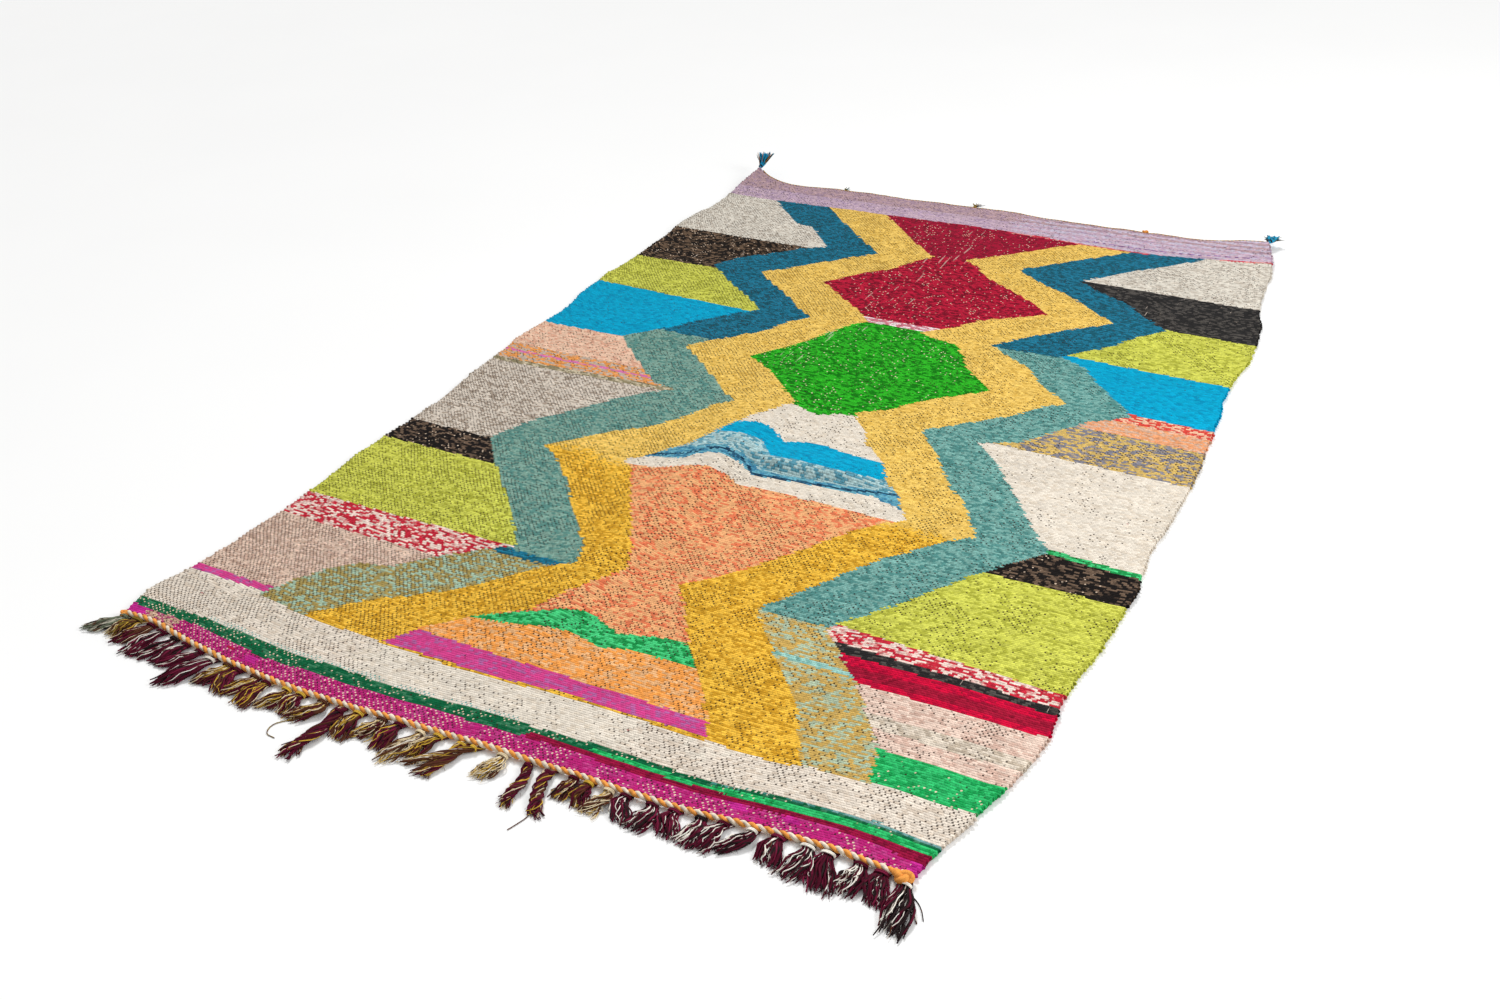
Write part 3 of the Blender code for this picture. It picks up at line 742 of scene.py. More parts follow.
# %% Stripes
# Where a new yarn starts, from the plain end down: at the selvedge and at the zigzag, and which.
LEFT_STRIPES = ("far_cream", [
    (0.775, 0.765, "brown_black"),
    (0.560, 0.566, "lime"),
    (0.385, 0.362, "bright_blue"),
    (0.124, 0.130, "peach"),
    (0.000, 0.000, "orange_mix"),
    (-0.027, -0.026, "pink_line"),
    (-0.036, -0.034, "orange_mix"),
    (-0.075, -0.055, "olive_line"),
    (-0.090, -0.073, "grey_white"),
    (-0.395, -0.395, "black"),
    (-0.480, -0.480, "lime"),
    (-0.720, -0.715, "red_mix"),
    (-0.800, -0.800, "left_pink"),
    (-1.003, -1.003, "magenta"),
    (-1.020, -1.020, "cream"),
])
RIGHT_STRIPES = ("far_cream", [
    (0.800, 0.822, "charcoal"),
    (0.615, 0.637, "lime"),
    (0.400, 0.425, "bright_blue"),
    (0.200, 0.235, "red_orange"),
    (0.165, 0.190, "orange_peach"),
    (0.110, 0.135, "brook"),
    (-0.025, -0.005, "cream"),
    (-0.340, -0.300, "emerald"),
    (-0.354, -0.314, "black"),
    (-0.443, -0.443, "lime"),
    (-0.705, -0.680, "red_mix"),
    (-0.740, -0.725, "charcoal"),
    (-0.757, -0.750, "crimson"),
    (-0.775, -0.775, "dark_red"),
    (-0.798, -0.798, "crimson"),
    (-0.812, -0.812, "pale_pink"),
    (-0.870, -0.870, "beige"),
    (-0.900, -0.900, "pale_pink"),
    (-0.940, -0.940, "bright_green"),
    (-1.010, -1.010, "cream"),
])
LEFT_BAND = ("petrol", [
    (0.190, 0.190, "sage"),
    (-0.722, -0.722, "petrol"),
    (-0.740, -0.740, "olive_speckle"),
])
RIGHT_BAND = ("petrol", [
    (0.400, 0.400, "teal"),
    (-0.700, -0.700, "khaki"),
    (-0.790, -0.790, "teal_streak"),
    (-0.802, -0.802, "khaki"),
])
INNER_BAND = ("gold", [(-0.370, -0.370, "mustard")])
SELVEDGE_X = 0.80
ZIGZAG_X = 0.30

# The middle column: where a new yarn starts, as one row place or as a wavy line of (x, y). A few
# navy rows in the pleat's crease, just above the edge of the blue, paint the shadow under the fold.
BLUE_EDGE = [
    (-0.20, -0.335), (-0.12, -0.312), (-0.08, -0.268), (-0.05, -0.260), (0.00, -0.276),
    (0.03, -0.300), (0.05, -0.313), (0.15, -0.302), (0.25, -0.297), (0.30, -0.290), (0.36, -0.310),
]
CREASE = [
    (-0.20, -0.330), (-0.12, -0.296), (-0.08, -0.250), (-0.05, -0.243), (0.00, -0.266),
    (0.03, -0.296), (0.05, -0.312), (0.15, -0.301), (0.25, -0.291), (0.30, -0.279), (0.36, -0.268),
]
# How deep the navy rows of painted shadow reach above the crease line.
PLEAT_SHADOW_ROWS = 0.007
MIDDLE_STRIPES = ("top_red", [
    (0.830, "lozenge_red"),
    (0.438, "pink_mottle"),
    (0.412, "grass"),
    ([(-0.06, -0.010), (0.00, -0.020), (0.06, -0.042), (0.11, -0.020), (0.18, -0.010)], "cream"),
    ([(-0.14, -0.180), (-0.10, -0.150), (-0.08, -0.130), (-0.05, -0.115), (-0.02, -0.120),
      (0.00, -0.130), (0.03, -0.155), (0.05, -0.170), (0.09, -0.155), (0.12, -0.150),
      (0.20, -0.165), (0.30, -0.172)], "bright_blue"),
    ([(-0.14, -0.215), (-0.10, -0.182), (-0.05, -0.170), (0.00, -0.180), (0.03, -0.210),
      (0.05, -0.230), (0.10, -0.225), (0.20, -0.225), (0.32, -0.228)], "melange"),
    ([(-0.18, -0.290), (-0.12, -0.262), (-0.08, -0.236), (-0.05, -0.232), (0.00, -0.250),
      (0.05, -0.288), (0.15, -0.285), (0.25, -0.275), (0.34, -0.262)], "denim"),
    # Navy rows of painted shadow under the pleat's fold.
    ([(x, y + PLEAT_SHADOW_ROWS) for x, y in CREASE], "pleat_shadow_navy"),
    (CREASE, "denim"),
    (BLUE_EDGE, "cream"),
    ([(-0.22, -0.370), (-0.15, -0.365), (-0.12, -0.350), (-0.08, -0.325), (-0.05, -0.315),
      (0.00, -0.330), (0.04, -0.355), (0.10, -0.350), (0.38, -0.356)], "peach_mix"),
    ([(-0.17, -0.912), (-0.10, -0.870), (-0.05, -0.840), (-0.02, -0.830), (0.02, -0.835),
      (0.05, -0.850), (0.08, -0.860), (0.12, -0.850), (0.15, -0.840), (0.20, -0.838),
      (0.26, -0.846)], "emerald"),
    ([(-0.18, -0.928), (-0.10, -0.912), (-0.05, -0.895), (0.00, -0.890), (0.07, -0.905),
      (0.12, -0.892), (0.26, -0.887)], "low_orange"),
    (-0.994, "magenta"),
    ([(-0.30, -1.046), (-0.05, -1.044), (0.07, -1.031), (0.37, -1.028)], "mustard"),
])

# The borders at both ends, as wavy lines of (x, y). Each line is where a yarn starts.
HEM_LINE = [
    (-0.80, 1.052), (-0.60, 1.045), (-0.40, 1.050), (0.00, 1.055), (0.20, 1.050), (0.30, 1.040),
    (0.50, 1.035), (0.60, 1.050), (0.70, 1.070), (0.80, 1.090),
]
ROSE_FROM = 1.118
LAVENDER_FROM = 0.12
LAVENDER_ROWS = 0.026
CORAL_LINE_DEPTH = 0.007
CORAL_LINE_SPANS = [(0.10, 0.48), (0.65, 0.90)]
BORDER_LINE = [
    (-0.80, -1.020), (-0.58, -1.032), (-0.46, -1.048), (-0.10, -1.052), (0.00, -1.045),
    (0.10, -1.037), (0.48, -1.033), (0.52, -1.020), (0.80, -1.010),
]
GREEN_LINE = [
    (-0.80, -1.126), (-0.60, -1.125), (-0.45, -1.137), (-0.35, -1.136), (-0.25, -1.135),
    (-0.15, -1.133), (-0.05, -1.124), (0.00, -1.121), (0.10, -1.120), (0.20, -1.112),
    (0.35, -1.111), (0.40, -1.108), (0.50, -1.096), (0.60, -1.084), (0.67, -1.081), (0.75, -1.088),
    (0.80, -1.088),
]
GREEN_END = [
    (-0.80, -1.146), (-0.60, -1.148), (-0.45, -1.168), (-0.35, -1.164), (-0.15, -1.156),
    (-0.05, -1.151), (0.00, -1.150), (0.08, -1.146), (0.09, -1.133), (0.20, -1.130),
    (0.35, -1.130), (0.40, -1.126), (0.50, -1.118), (0.60, -1.108), (0.67, -1.106),
    (0.75, -1.110), (0.80, -1.110),
]
BURGUNDY_END = [
    (-0.80, -1.130), (0.08, -1.130), (0.09, -1.144), (0.20, -1.142), (0.30, -1.144),
    (0.35, -1.142), (0.40, -1.138), (0.50, -1.130), (0.60, -1.119), (0.67, -1.120),
    (0.75, -1.132), (0.80, -1.134),
]
GREEN_ROW = 0.0095
TEAL_GREY_ROW = 0.0048
OPEN_CREAM_SPANS = [(-0.90, -0.28), (0.30, 0.95)]
TEAL_DOTS_SPAN = [(-0.62, 0.05)]
TEAL_DOTS_ROWS = 0.010
CORNER_MIX_SPAN = [(-0.742, -0.655)]
PATCHES = [
    # x from, x to, y from, y to, ball
    (-0.535, -0.510, -1.173, -1.167, "red_patch"),
    (-0.478, -0.452, -1.190, -1.174, "solid_magenta"),
    (0.452, 0.478, -1.144, -1.133, "solid_magenta"),
    (0.536, 0.560, -1.136, -1.125, "solid_magenta"),
]
STITCH_LINE = [(0.30, 1.061), (0.50, 1.060), (0.60, 1.072), (0.72, 1.098)]
STITCH_ROWS = 0.0024
STITCH_LENGTH = 0.022
STITCH_SHARE = 0.62
LIGHT_GREEN_FROM = 0.20
TEAL_GREY_FROM = 0.52
SOLID_MAGENTA_SPANS = [(-0.90, -0.742), (0.735, 0.90)]
RAGGED = 6.0
print("zigzag turning points:", sum(len(line) for line in (
    LEFT_OUTER_LINE, LEFT_MIDDLE_LINE, LEFT_INNER_LINE,
    RIGHT_INNER_LINE, RIGHT_MIDDLE_LINE, RIGHT_OUTER_LINE)))


# %% Reading the chart
def follow(value, points):
    """A line through a few points (place, height), read at a value."""
    points = sorted(points)
    low, high = points[0][0], points[-1][0]
    floor_height = min(p[1] for p in points)
    rise = max(p[1] for p in points) - floor_height
    shares = [((a - low) / (high - low), (b - floor_height) / rise) for a, b in points]
    curve = value.node("FloatCurve", {"points": shares}, {1: (value - low) / (high - low)})
    return curve * rise + floor_height


def across_at(row, line):
    """Where a zigzag line crosses a row."""
    return follow(row, [(y, x) for x, y in line])


def stripes_at(row, across, stripes, selvedge_x):
    """The number of the ball in use at a row, for straight stripes that may slant a little."""
    first, starts = stripes
    number = NUMBER[first]
    inward = (across - selvedge_x) / (math.copysign(ZIGZAG_X, selvedge_x) - selvedge_x)
    before = number
    for at_selvedge, at_zigzag, yarn in starts:
        if at_selvedge == at_zigzag:
            started = row < at_selvedge
        else:
            started = row < inward * (at_zigzag - at_selvedge) + at_selvedge
        number = started * (NUMBER[yarn] - before) + number
        before = NUMBER[yarn]
    return number


def middle_at(row, across):
    """The number of the ball in use in the middle column, whose stripes may be wavy."""
    first, starts = MIDDLE_STRIPES
    number = NUMBER[first]
    before = number
    for place, yarn in starts:
        started = row < (follow(across, place) if isinstance(place, list) else place)
        number = started * (NUMBER[yarn] - before) + number
        before = NUMBER[yarn]
    return number


def inside(value, spans):
    """One where the value lies in any of the spans."""
    total = 0.0
    for low, high in spans:
        total = (value > low) * (value < high) + total
    return total


def swap(number, mask, other):
    """Another ball's number where the mask is 1."""
    return number + mask * (other - number)


def chart_number(across, row, blend):
    """The number of the ball of yarn at a place. Band colours change over raggedly, by blend."""
    number = stripes_at(row, across, LEFT_STRIPES, -SELVEDGE_X)
    columns = [
        (LEFT_OUTER_LINE, stripes_at(row + blend * 0.2, across, LEFT_BAND, -SELVEDGE_X)),
        (LEFT_MIDDLE_LINE, stripes_at(row + blend, across, INNER_BAND, -SELVEDGE_X)),
        (LEFT_INNER_LINE, middle_at(row, across)),
        (RIGHT_INNER_LINE, stripes_at(row + blend, across, INNER_BAND, SELVEDGE_X)),
        (RIGHT_MIDDLE_LINE, stripes_at(row + blend * 0.2, across, RIGHT_BAND, SELVEDGE_X)),
        (RIGHT_OUTER_LINE, stripes_at(row, across, RIGHT_STRIPES, SELVEDGE_X)),
    ]
    for line, column in columns:
        number = swap(number, across > across_at(row, line), column)
    hem = follow(across, HEM_LINE)
    coral = (row > hem - CORAL_LINE_DEPTH) * inside(across, CORAL_LINE_SPANS)
    number = swap(number, coral, NUMBER["coral_line"])
    number = swap(number, row > hem, NUMBER["mauve"])
    number = swap(number, row + blend * 0.15 > ROSE_FROM, NUMBER["rose"])
    streaks = row.math("FLOORED_MODULO", row + blend * 0.15, LAVENDER_ROWS) < LAVENDER_ROWS * 0.5
    streaks = streaks * (row > hem) * (across + blend * RAGGED > LAVENDER_FROM)
    number = swap(number, streaks, NUMBER["lavender"])
    stitch = follow(across, STITCH_LINE)
    dash = across.math("FLOORED_MODULO", across, STITCH_LENGTH) < STITCH_LENGTH * STITCH_SHARE
    stitched = (row > stitch - STITCH_ROWS) * (row < stitch + STITCH_ROWS) * dash
    stitched = stitched * inside(across, [(STITCH_LINE[0][0], STITCH_LINE[-1][0])])
    number = swap(number, stitched, NUMBER["purple_stitch"])
    border = row < follow(across, BORDER_LINE)
    number = swap(number, border, NUMBER["cream"])
    opened = border * inside(across + blend * RAGGED, OPEN_CREAM_SPANS)
    number = swap(number, opened, NUMBER["open_cream"])
    green = follow(across, GREEN_LINE)
    dots = (row < green + TEAL_DOTS_ROWS) * inside(across, TEAL_DOTS_SPAN)
    number = swap(number, dots, NUMBER["teal_dots"])
    light = across > LIGHT_GREEN_FROM
    number = swap(number, row < green, NUMBER["forest"])
    greyed = (row < green) * (row > green - TEAL_GREY_ROW)
    greyed = (across + blend * RAGGED > TEAL_GREY_FROM) * greyed
    number = swap(number, greyed, NUMBER["teal_grey"])
    number = swap(number, light * (row < green - GREEN_ROW), NUMBER["bright_green"])
    ended = row < follow(across, GREEN_END)
    number = swap(number, ended, NUMBER["burgundy"])
    low = ended * (row < follow(across, BURGUNDY_END))
    number = swap(number, low, NUMBER["fleck_magenta"])
    number = swap(number, inside(across, SOLID_MAGENTA_SPANS) * low, NUMBER["solid_magenta"])
    number = swap(number, inside(across + blend * 0.5, CORNER_MIX_SPAN) * low, NUMBER["corner_mix"])
    for x_from, x_to, y_from, y_to, yarn in PATCHES:
        patch = inside(across, [(x_from, x_to)]) * inside(row, [(y_from, y_to)])
        number = swap(number, patch, NUMBER[yarn])
    return number


# %% [markdown]
# ## The weave
#
# In a plain weave each weft goes over one warp and under the next, and the next row does the
# opposite. Seen from above that is a wall of small bricks, each a bead of yarn. The material works
# out which bead a point is on from its place, and asks the chart for the ball at the bead's middle,
# so slanting edges come out in steps as on the loom. Then it rounds the bead, and its colour gets a
# painted shade that darkens towards the bead's edges. Where the rows are loose, the warp peeps
# through at the joints between beads: each joint draws its own luck, and shows a small dot of brown,
# pale or blue-green warp. An image of the weave would be quicker to set up, but it would blur up
# close and repeat from far away.

# %% Weave sizes and tones
WARP_PITCH = 0.0094
ROW_PITCH = 0.0048
ROW_SLIP = 0.22
# Painted shade between beads: darkening at a bead's sides and at its upper and lower edges.
PAINTED_SHADE_ACROSS = 0.04
PAINTED_SHADE_ALONG = 0.24
PLY_SLANT = (13.0, 8.0)
ROW_WANDER = 0.002
TURN_WANDER = 0.006
BLEND_WANDER = 0.13
WARP_BROWN = "#33251f"
WARP_PALE = "#e6cdb4"
WARP_TEAL = "#4f9d96"
DOT_HALF_WIDTH = 0.0018
DOT_HALF_HEIGHT = 0.0018
LOOSER_LEFT = 0.19
PALE_JOINTS = [
    # ball, share of its joints that are pale
    ("fleck_magenta", 0.50),
    ("corner_mix", 0.30),
    ("forest", 0.75),
    ("bright_green", 0.45),
    ("grass", 0.30),
    ("lozenge_red", 0.40),
    ("top_red", 0.40),
    ("red_mix", 0.60),
    ("black", 1.00),
    ("brown_black", 1.00),
    ("charcoal", 1.00),
]
SCUFFED = ("top_red", "lozenge_red", "grass", "brown_black", "charcoal")
SCUFF_PALE = "#d9c8ba"
SCUFF_CELLS = (130.0, 13.0, 20.0)
WEAR_X = -0.134
WEAR_SLANT = 0.171
WEAR_REACH = 0.075
SLUB_CELLS = (13.0, 24.0, 13.0)
SLUB_BROWN = "#40312a"
SLUB_RED = "#9a2a34"
SLUB_GOLD = "#c9992e"
HAZE_WAVES, PATCH_WAVES, DRIFT_WAVES = 9.0, 13.0, 5.0
LUMP_WAVES, GRAIN_WAVES, TORN_WAVES, FUZZ_WAVES = 75.0, 170.0, 260.0, 900.0
STREAKS_ALONG_WEFT = 150.0


# %% Noise and luck
def soft_noise(wire, place, waves_per_metre, detail=2.0, roughness=0.5):
    inputs = {"Vector": place, "Scale": waves_per_metre, "Detail": detail, "Roughness": roughness}
    return wire.node("TexNoise", {}, inputs)


def drawn_luck(wire, across, along, seed):
    """A random number for a whole-number place, and three more beside it."""
    key = wire.node("CombineXYZ", {}, {0: across, 1: along, 2: seed})
    luck = wire.node("TexWhiteNoise", {"noise_dimensions": "3D"}, {"Vector": key})
    return luck, wire.node("SeparateColor", {}, {0: luck.beside("Color")})


def scattered_cells(wire, place, cells_per_metre):
    """How far a point is from the middle of its scattered cell, and the luck of that cell."""
    place = wire.node("VectorMath", {"operation": "MULTIPLY"}, {0: place, 1: cells_per_metre})
    cell = wire.node("TexVoronoi", {"feature": "F1"}, {"Vector": place, "Scale": 1.0})
    return cell, wire.node("SeparateColor", {}, {0: cell.beside("Color")})


def is_ball(number, *names):
    """One where the ball in use is among those named."""
    found = 0.0
    for name in names:
        found = number.math("COMPARE", number, NUMBER[name], 0.1) + found
    return found


def paint(tone):
    return (*linear(tone), 1.0)


# %% Beads and joints
class Beads:
    """Which bead and which joint a point is on, and the luck that each of them drew."""

    def __init__(self, wire, spot):
        self.x = spot
        y = spot.beside(1)
        self.row = (y / ROW_PITCH).whole()
        odd = self.row.math("FLOORED_MODULO", self.row, 2.0) * 0.5
        self.row_luck, _ = drawn_luck(wire, 0.0, self.row, 7.0)
        self.brick = spot / WARP_PITCH + odd + (self.row_luck - 0.5) * ROW_SLIP
        column = self.brick.whole()
        self.luck, self.lucks = drawn_luck(wire, column, self.row, 0.0)
        self.joint = (self.brick + 0.5).whole()
        _, self.joint_lucks = drawn_luck(wire, self.joint, self.row, 3.0)
        self.side = self.brick - column - 0.5
        self.along = y / ROW_PITCH - self.row - 0.5


def ball_in_use(wire, place, beads):
    """The number of the ball at the middle of a bead, read off the chart."""
    chart = wire.node("Attribute", {"attribute_name": "chart"}, output="Vector")
    chart = wire.node("SeparateXYZ", {}, {0: chart})
    drift = soft_noise(wire, place, DRIFT_WAVES, 3.0)
    across = chart - beads.side * WARP_PITCH + (beads.row_luck - 0.5) * TURN_WANDER
    down = chart.beside(1) - beads.along * ROW_PITCH + (drift - 0.5) * ROW_WANDER
    return chart, chart_number(across, down, (drift + beads.lucks * 0.25 - 0.625) * BLEND_WANDER)


def warp_dots(wire, place, beads, warp_share):
    """One where the warp shows: a dot at a joint that drew low, more often where rows are loose."""
    patch = soft_noise(wire, place, PATCH_WAVES, 3.0)
    aside = (beads.brick - beads.joint) / DOT_HALF_WIDTH * WARP_PITCH
    above = beads.along / DOT_HALF_HEIGHT * ROW_PITCH
    size = beads.joint_lucks * 0.5 + 0.75
    dot = ((size - aside * aside - above * above) * 2.5).clamped()
    loose = patch + (0.5 - beads.x / WEAVE_WIDTH) * LOOSER_LEFT - 0.30
    shows = (warp_share * loose * 4.0 - beads.joint_lucks.beside(1)) * 10.0
    return dot * shows.clamped() * 0.95


def warp_tone(number, beads):
    """Brown warp, but pale at some joints of some balls, and blue-green in a few rows."""
    pale_joints = 0.0
    for yarn, share in PALE_JOINTS:
        pale_joints = is_ball(number, yarn) * (beads.joint_lucks.beside(2) < share) + pale_joints
    tone = pale_joints.mix(paint(WARP_BROWN), paint(WARP_PALE))
    return is_ball(number, "teal_dots").mix(tone, paint(WARP_TEAL))


# %% Slubs and scuffs
def with_slubs(wire, place, torn, colour):
    """Odd bits of other yarn that were spun in: scattered specks in three tones."""
    slub, luck = scattered_cells(wire, place, SLUB_CELLS)
    speck = (slub < (luck - 0.45) * (torn - 0.20) * 0.26) * 0.80
    tone = (luck.beside(1) > 0.62).mix(paint(SLUB_BROWN), paint(SLUB_RED))
    tone = (luck.beside(1) > 0.86).mix(tone, paint(SLUB_GOLD))
    return speck.mix(colour, tone)


def with_scuffs(wire, place, chart, number, torn, colour):
    """Short pale rubs on the dark yarns, most of them along the line where the rug was folded."""
    scuff, luck = scattered_cells(wire, place, SCUFF_CELLS)
    worn = chart - (chart.beside(1) * WEAR_SLANT + WEAR_X)
    worn = (1 - worn.math("ABSOLUTE", worn) / WEAR_REACH).clamped()
    rubbed = scuff < (luck - 0.72 + worn * 0.42) * (torn - 0.15) * 1.7
    return (is_ball(number, *SCUFFED) * rubbed * 0.50).mix(colour, paint(SCUFF_PALE))


# %% Weave material
def woven_finish(name, beaded):
    """The chart's colours in beads of yarn, or in plain yarn where the weft turns at the edge."""
    finish, shader, wire = new_finish(name)
    place = wire.node("TexCoord", output="Object")
    spot = place
    if beaded:
        spot = wire.node("Attribute", {"attribute_name": "weave"}, output="Vector")
    beads = Beads(wire, wire.node("SeparateXYZ", {}, {0: spot}))
    chart, number = ball_in_use(wire, place, beads)
    main, fleck_share = pick_yarn(number, 0, 2)
    second, warp_share = pick_yarn(number, 1, 3)

    streak_place = {0: beads.x * STREAKS_ALONG_WEFT, 1: beads.row * 0.83, 2: number}
    streak = soft_noise(wire, wire.node("CombineXYZ", {}, streak_place), 1.0, 1.0)
    mixed = (streak - 0.5) * 0.55 + (beads.luck - 0.5) * 1.4 + 0.5
    fleck = ((mixed - 1 + fleck_share) * 2.6 + 0.4).clamped() * 0.9
    colour = fleck.mix(main, second)

    haze = soft_noise(wire, place, HAZE_WAVES, 4.0)
    lump = soft_noise(wire, place, LUMP_WAVES)
    fuzz = soft_noise(wire, place, FUZZ_WAVES)
    grain = soft_noise(wire, place, GRAIN_WAVES, 3.0, 0.65)
    rough = fleck_share * 2.2 - 0.36
    # The yarn's own tone, varying at random; painted shade between beads is multiplied in below.
    light = 0.73 + haze * 0.22 + (beads.lucks.beside(1) - 0.5) * 0.24
    light = light + (beads.row_luck - 0.5) * 0.08 + (streak - 0.5) * 0.20
    light = light + (lump - 0.5) * 0.14 + fuzz * 0.32 + (grain - 0.5) * rough * 2.4
    if beaded:
        edge_across = beads.side.math("ABSOLUTE", beads.side) * 2
        edge_along = beads.along.math("ABSOLUTE", beads.along) * 2
        # Painted shade: the colour darkens towards each bead's edges, as shade between the beads.
        joint_shade_across = edge_across.math("POWER", edge_across, 6.0)
        joint_shade_along = edge_along.math("POWER", edge_along, 4.0)
        light = light * (1.05 - joint_shade_across * PAINTED_SHADE_ACROSS - joint_shade_along * PAINTED_SHADE_ALONG)
        dome = (1 - edge_across * edge_across) * (1 - edge_along * edge_along)
        ply = beads.side * PLY_SLANT[0] + beads.along * PLY_SLANT[1]
        ply = ply.math("SINE", ply)
        dots = warp_dots(wire, place, beads, warp_share)
        colour = dots.mix(colour, warp_tone(number, beads))
        height = dome * 0.8 + ply * 0.08 + fuzz * 0.30 - dots * 0.3 + lump * 0.6 + grain * 0.7
    else:
        height = fuzz + lump
    colour = colour.shade(light)
    torn = soft_noise(wire, place, TORN_WAVES)
    colour = with_slubs(wire, place, torn, colour)
    colour = with_scuffs(wire, place, chart, number, torn, colour)
    relief = wire.node("Bump", {}, {"Height": height, "Distance": 0.0015, "Strength": 0.9})
    finish.node_tree.links.new(colour.socket, shader.inputs["Base Color"])
    finish.node_tree.links.new(relief.socket, shader.inputs["Normal"])
    return finish


# %% The cloth's finish
cloth.data.materials.append(woven_finish("woven_rag", True))
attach(cloth, "root")
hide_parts("rug_cloth")
top_area = sum(p.area for p in mesh.polygons) / 2
print("woven area of one face:", round(top_area, 3), "square metres")
print("nodes in the weave:", len(cloth.data.materials[0].node_tree.nodes))

# %% [markdown]
# ## Lengths of yarn
#
# The edges, the cord and the fringe are all lengths of yarn. A curve with a bevel would make one,
# but there are some thousands, so a function sweeps a small ring along each path instead, and
# all the lengths of a piece are joined into one mesh. A "tint" attribute carries each length's
# colour. The ring is turned as little as possible from point to point, so that nothing twists.

# %% Sweep and join
def sweep(points, radii, tints, sides=5, flatten=1.0):
    """A closed length of yarn along the points, with a radius and a tint for each."""
    points = np.array(points, float)
    ways = np.gradient(points, axis=0)
    ways /= np.linalg.norm(ways, axis=1)[:, None]
    side = np.cross(ways[0], (0.0, 0.0, 1.0))
    if np.linalg.norm(side) < 1e-6:
        side = np.array((1.0, 0.0, 0.0))
    angles = np.linspace(0.0, math.tau, sides, endpoint=False) + math.pi / sides
    rings = []
    for point, way, radius in zip(points, ways, radii):
        side = side - way * (side @ way)
        side /= np.linalg.norm(side)
        over = np.cross(side, way)
        ring = np.outer(np.cos(angles), side) + np.outer(np.sin(angles) * flatten, over)
        rings.append(point + ring * radius)
    ends = [points[0] - ways[0] * radii[0] * 0.6, points[-1] + ways[-1] * radii[-1] * 0.6]
    places = np.vstack(rings + ends)
    faces = []
    for i in range(len(points) - 1):
        for k in range(sides):
            m = (k + 1) % sides
            faces.append((i * sides + k, i * sides + m, (i + 1) * sides + m, (i + 1) * sides + k))
    last = (len(points) - 1) * sides
    first_end, last_end = len(places) - 2, len(places) - 1
    for k in range(sides):
        m = (k + 1) % sides
        faces.append((first_end, m, k))
        faces.append((last_end, last + k, last + m))
    tints = np.array(tints, float)
    if tints.ndim == 1:
        tints = np.tile(tints, (len(points), 1))
    shades = np.vstack([np.repeat(tints, sides, axis=0), tints[:1], tints[-1:]])
    return places, faces, shades


def join_lengths(name, lengths, charts=None):
    """One mesh of many lengths, each with its tint, and its place on the chart where given."""
    places = np.vstack([length[0] for length in lengths]) - MIDDLE
    faces = []
    start = 0
    for length in lengths:
        faces += [tuple(k + start for k in face) for face in length[1]]
        start += len(length[0])
    mesh = bpy.data.meshes.new(name)
    mesh.from_pydata(places.tolist(), [], faces)
    shades = np.vstack([length[2] for length in lengths])
    set_attribute(mesh, "tint", np.hstack([shades, np.ones((len(shades), 1))]), "FLOAT_COLOR")
    if charts is not None:
        spots = [np.tile(spot, (len(length[0]), 1)) for spot, length in zip(charts, lengths)]
        set_attribute(mesh, "chart", np.vstack(spots))
    mesh.update()
    piece = bpy.data.objects.new(name, mesh)
    bpy.context.scene.collection.objects.link(piece)
    bpy.ops.object.select_all(action="DESELECT")
    piece.select_set(True)
    bpy.context.view_layer.objects.active = piece
    bpy.ops.object.mode_set(mode="EDIT")
    bpy.ops.mesh.select_all(action="SELECT")
    bpy.ops.mesh.normals_make_consistent(inside=False)
    bpy.ops.object.mode_set(mode="OBJECT")
    bpy.ops.object.shade_smooth()
    triangles = sum(len(p.vertices) - 2 for p in mesh.polygons)
    print(f"{name}: {len(lengths)} lengths, {triangles} triangles")
    return piece


def yarn_finish(name, fibre_size=1400.0, depth=0.0005):
    """Soft fibre in the tint that each length carries."""
    finish, shader, wire = new_finish(name)
    place = wire.node("TexCoord", output="Object")
    tint = wire.node("Attribute", {"attribute_name": "tint"}, output="Color")
    fibre = wire.node("TexNoise", {}, {"Vector": place, "Scale": fibre_size, "Detail": 2.0})
    cloud = wire.node("TexNoise", {}, {"Vector": place, "Scale": 160.0, "Detail": 2.0})
    colour = tint.shade(fibre * 0.55 + cloud * 0.35 + 0.52)
    relief = wire.node("Bump", {}, {"Height": fibre, "Distance": depth, "Strength": 0.8})
    finish.node_tree.links.new(colour.socket, shader.inputs["Base Color"])
    finish.node_tree.links.new(relief.socket, shader.inputs["Normal"])
    return finish


def dress(piece, finish, slot, *nodes):
    """The finish and the plain solids that a piece stands for. The slot is not used."""
    piece.data.materials.append(finish)
    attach(piece, "root")
    if nodes:
        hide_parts(*nodes)
    return piece


# %% [markdown]
# ## The selvedges
#
# At each side the weft turns round the last warp and goes back, and leaves a small loop for every
# two rows. They give the edge its lumpy line. Each loop is a short length of yarn bent round the
# rim of the sheet, and it reads the chart just inside the edge, so it has its stripe's colour.

# %% Weft loops
LOOP_PITCH = 2 * ROW_PITCH
LOOP_ANGLES = np.radians([80, 48, 16, -16, -48, -80])
LOOP_OUT = 0.0036
LOOP_RISE = 0.0019
LOOP_RADIUS = 0.0020
LOOP_CHART_INSET = 0.006


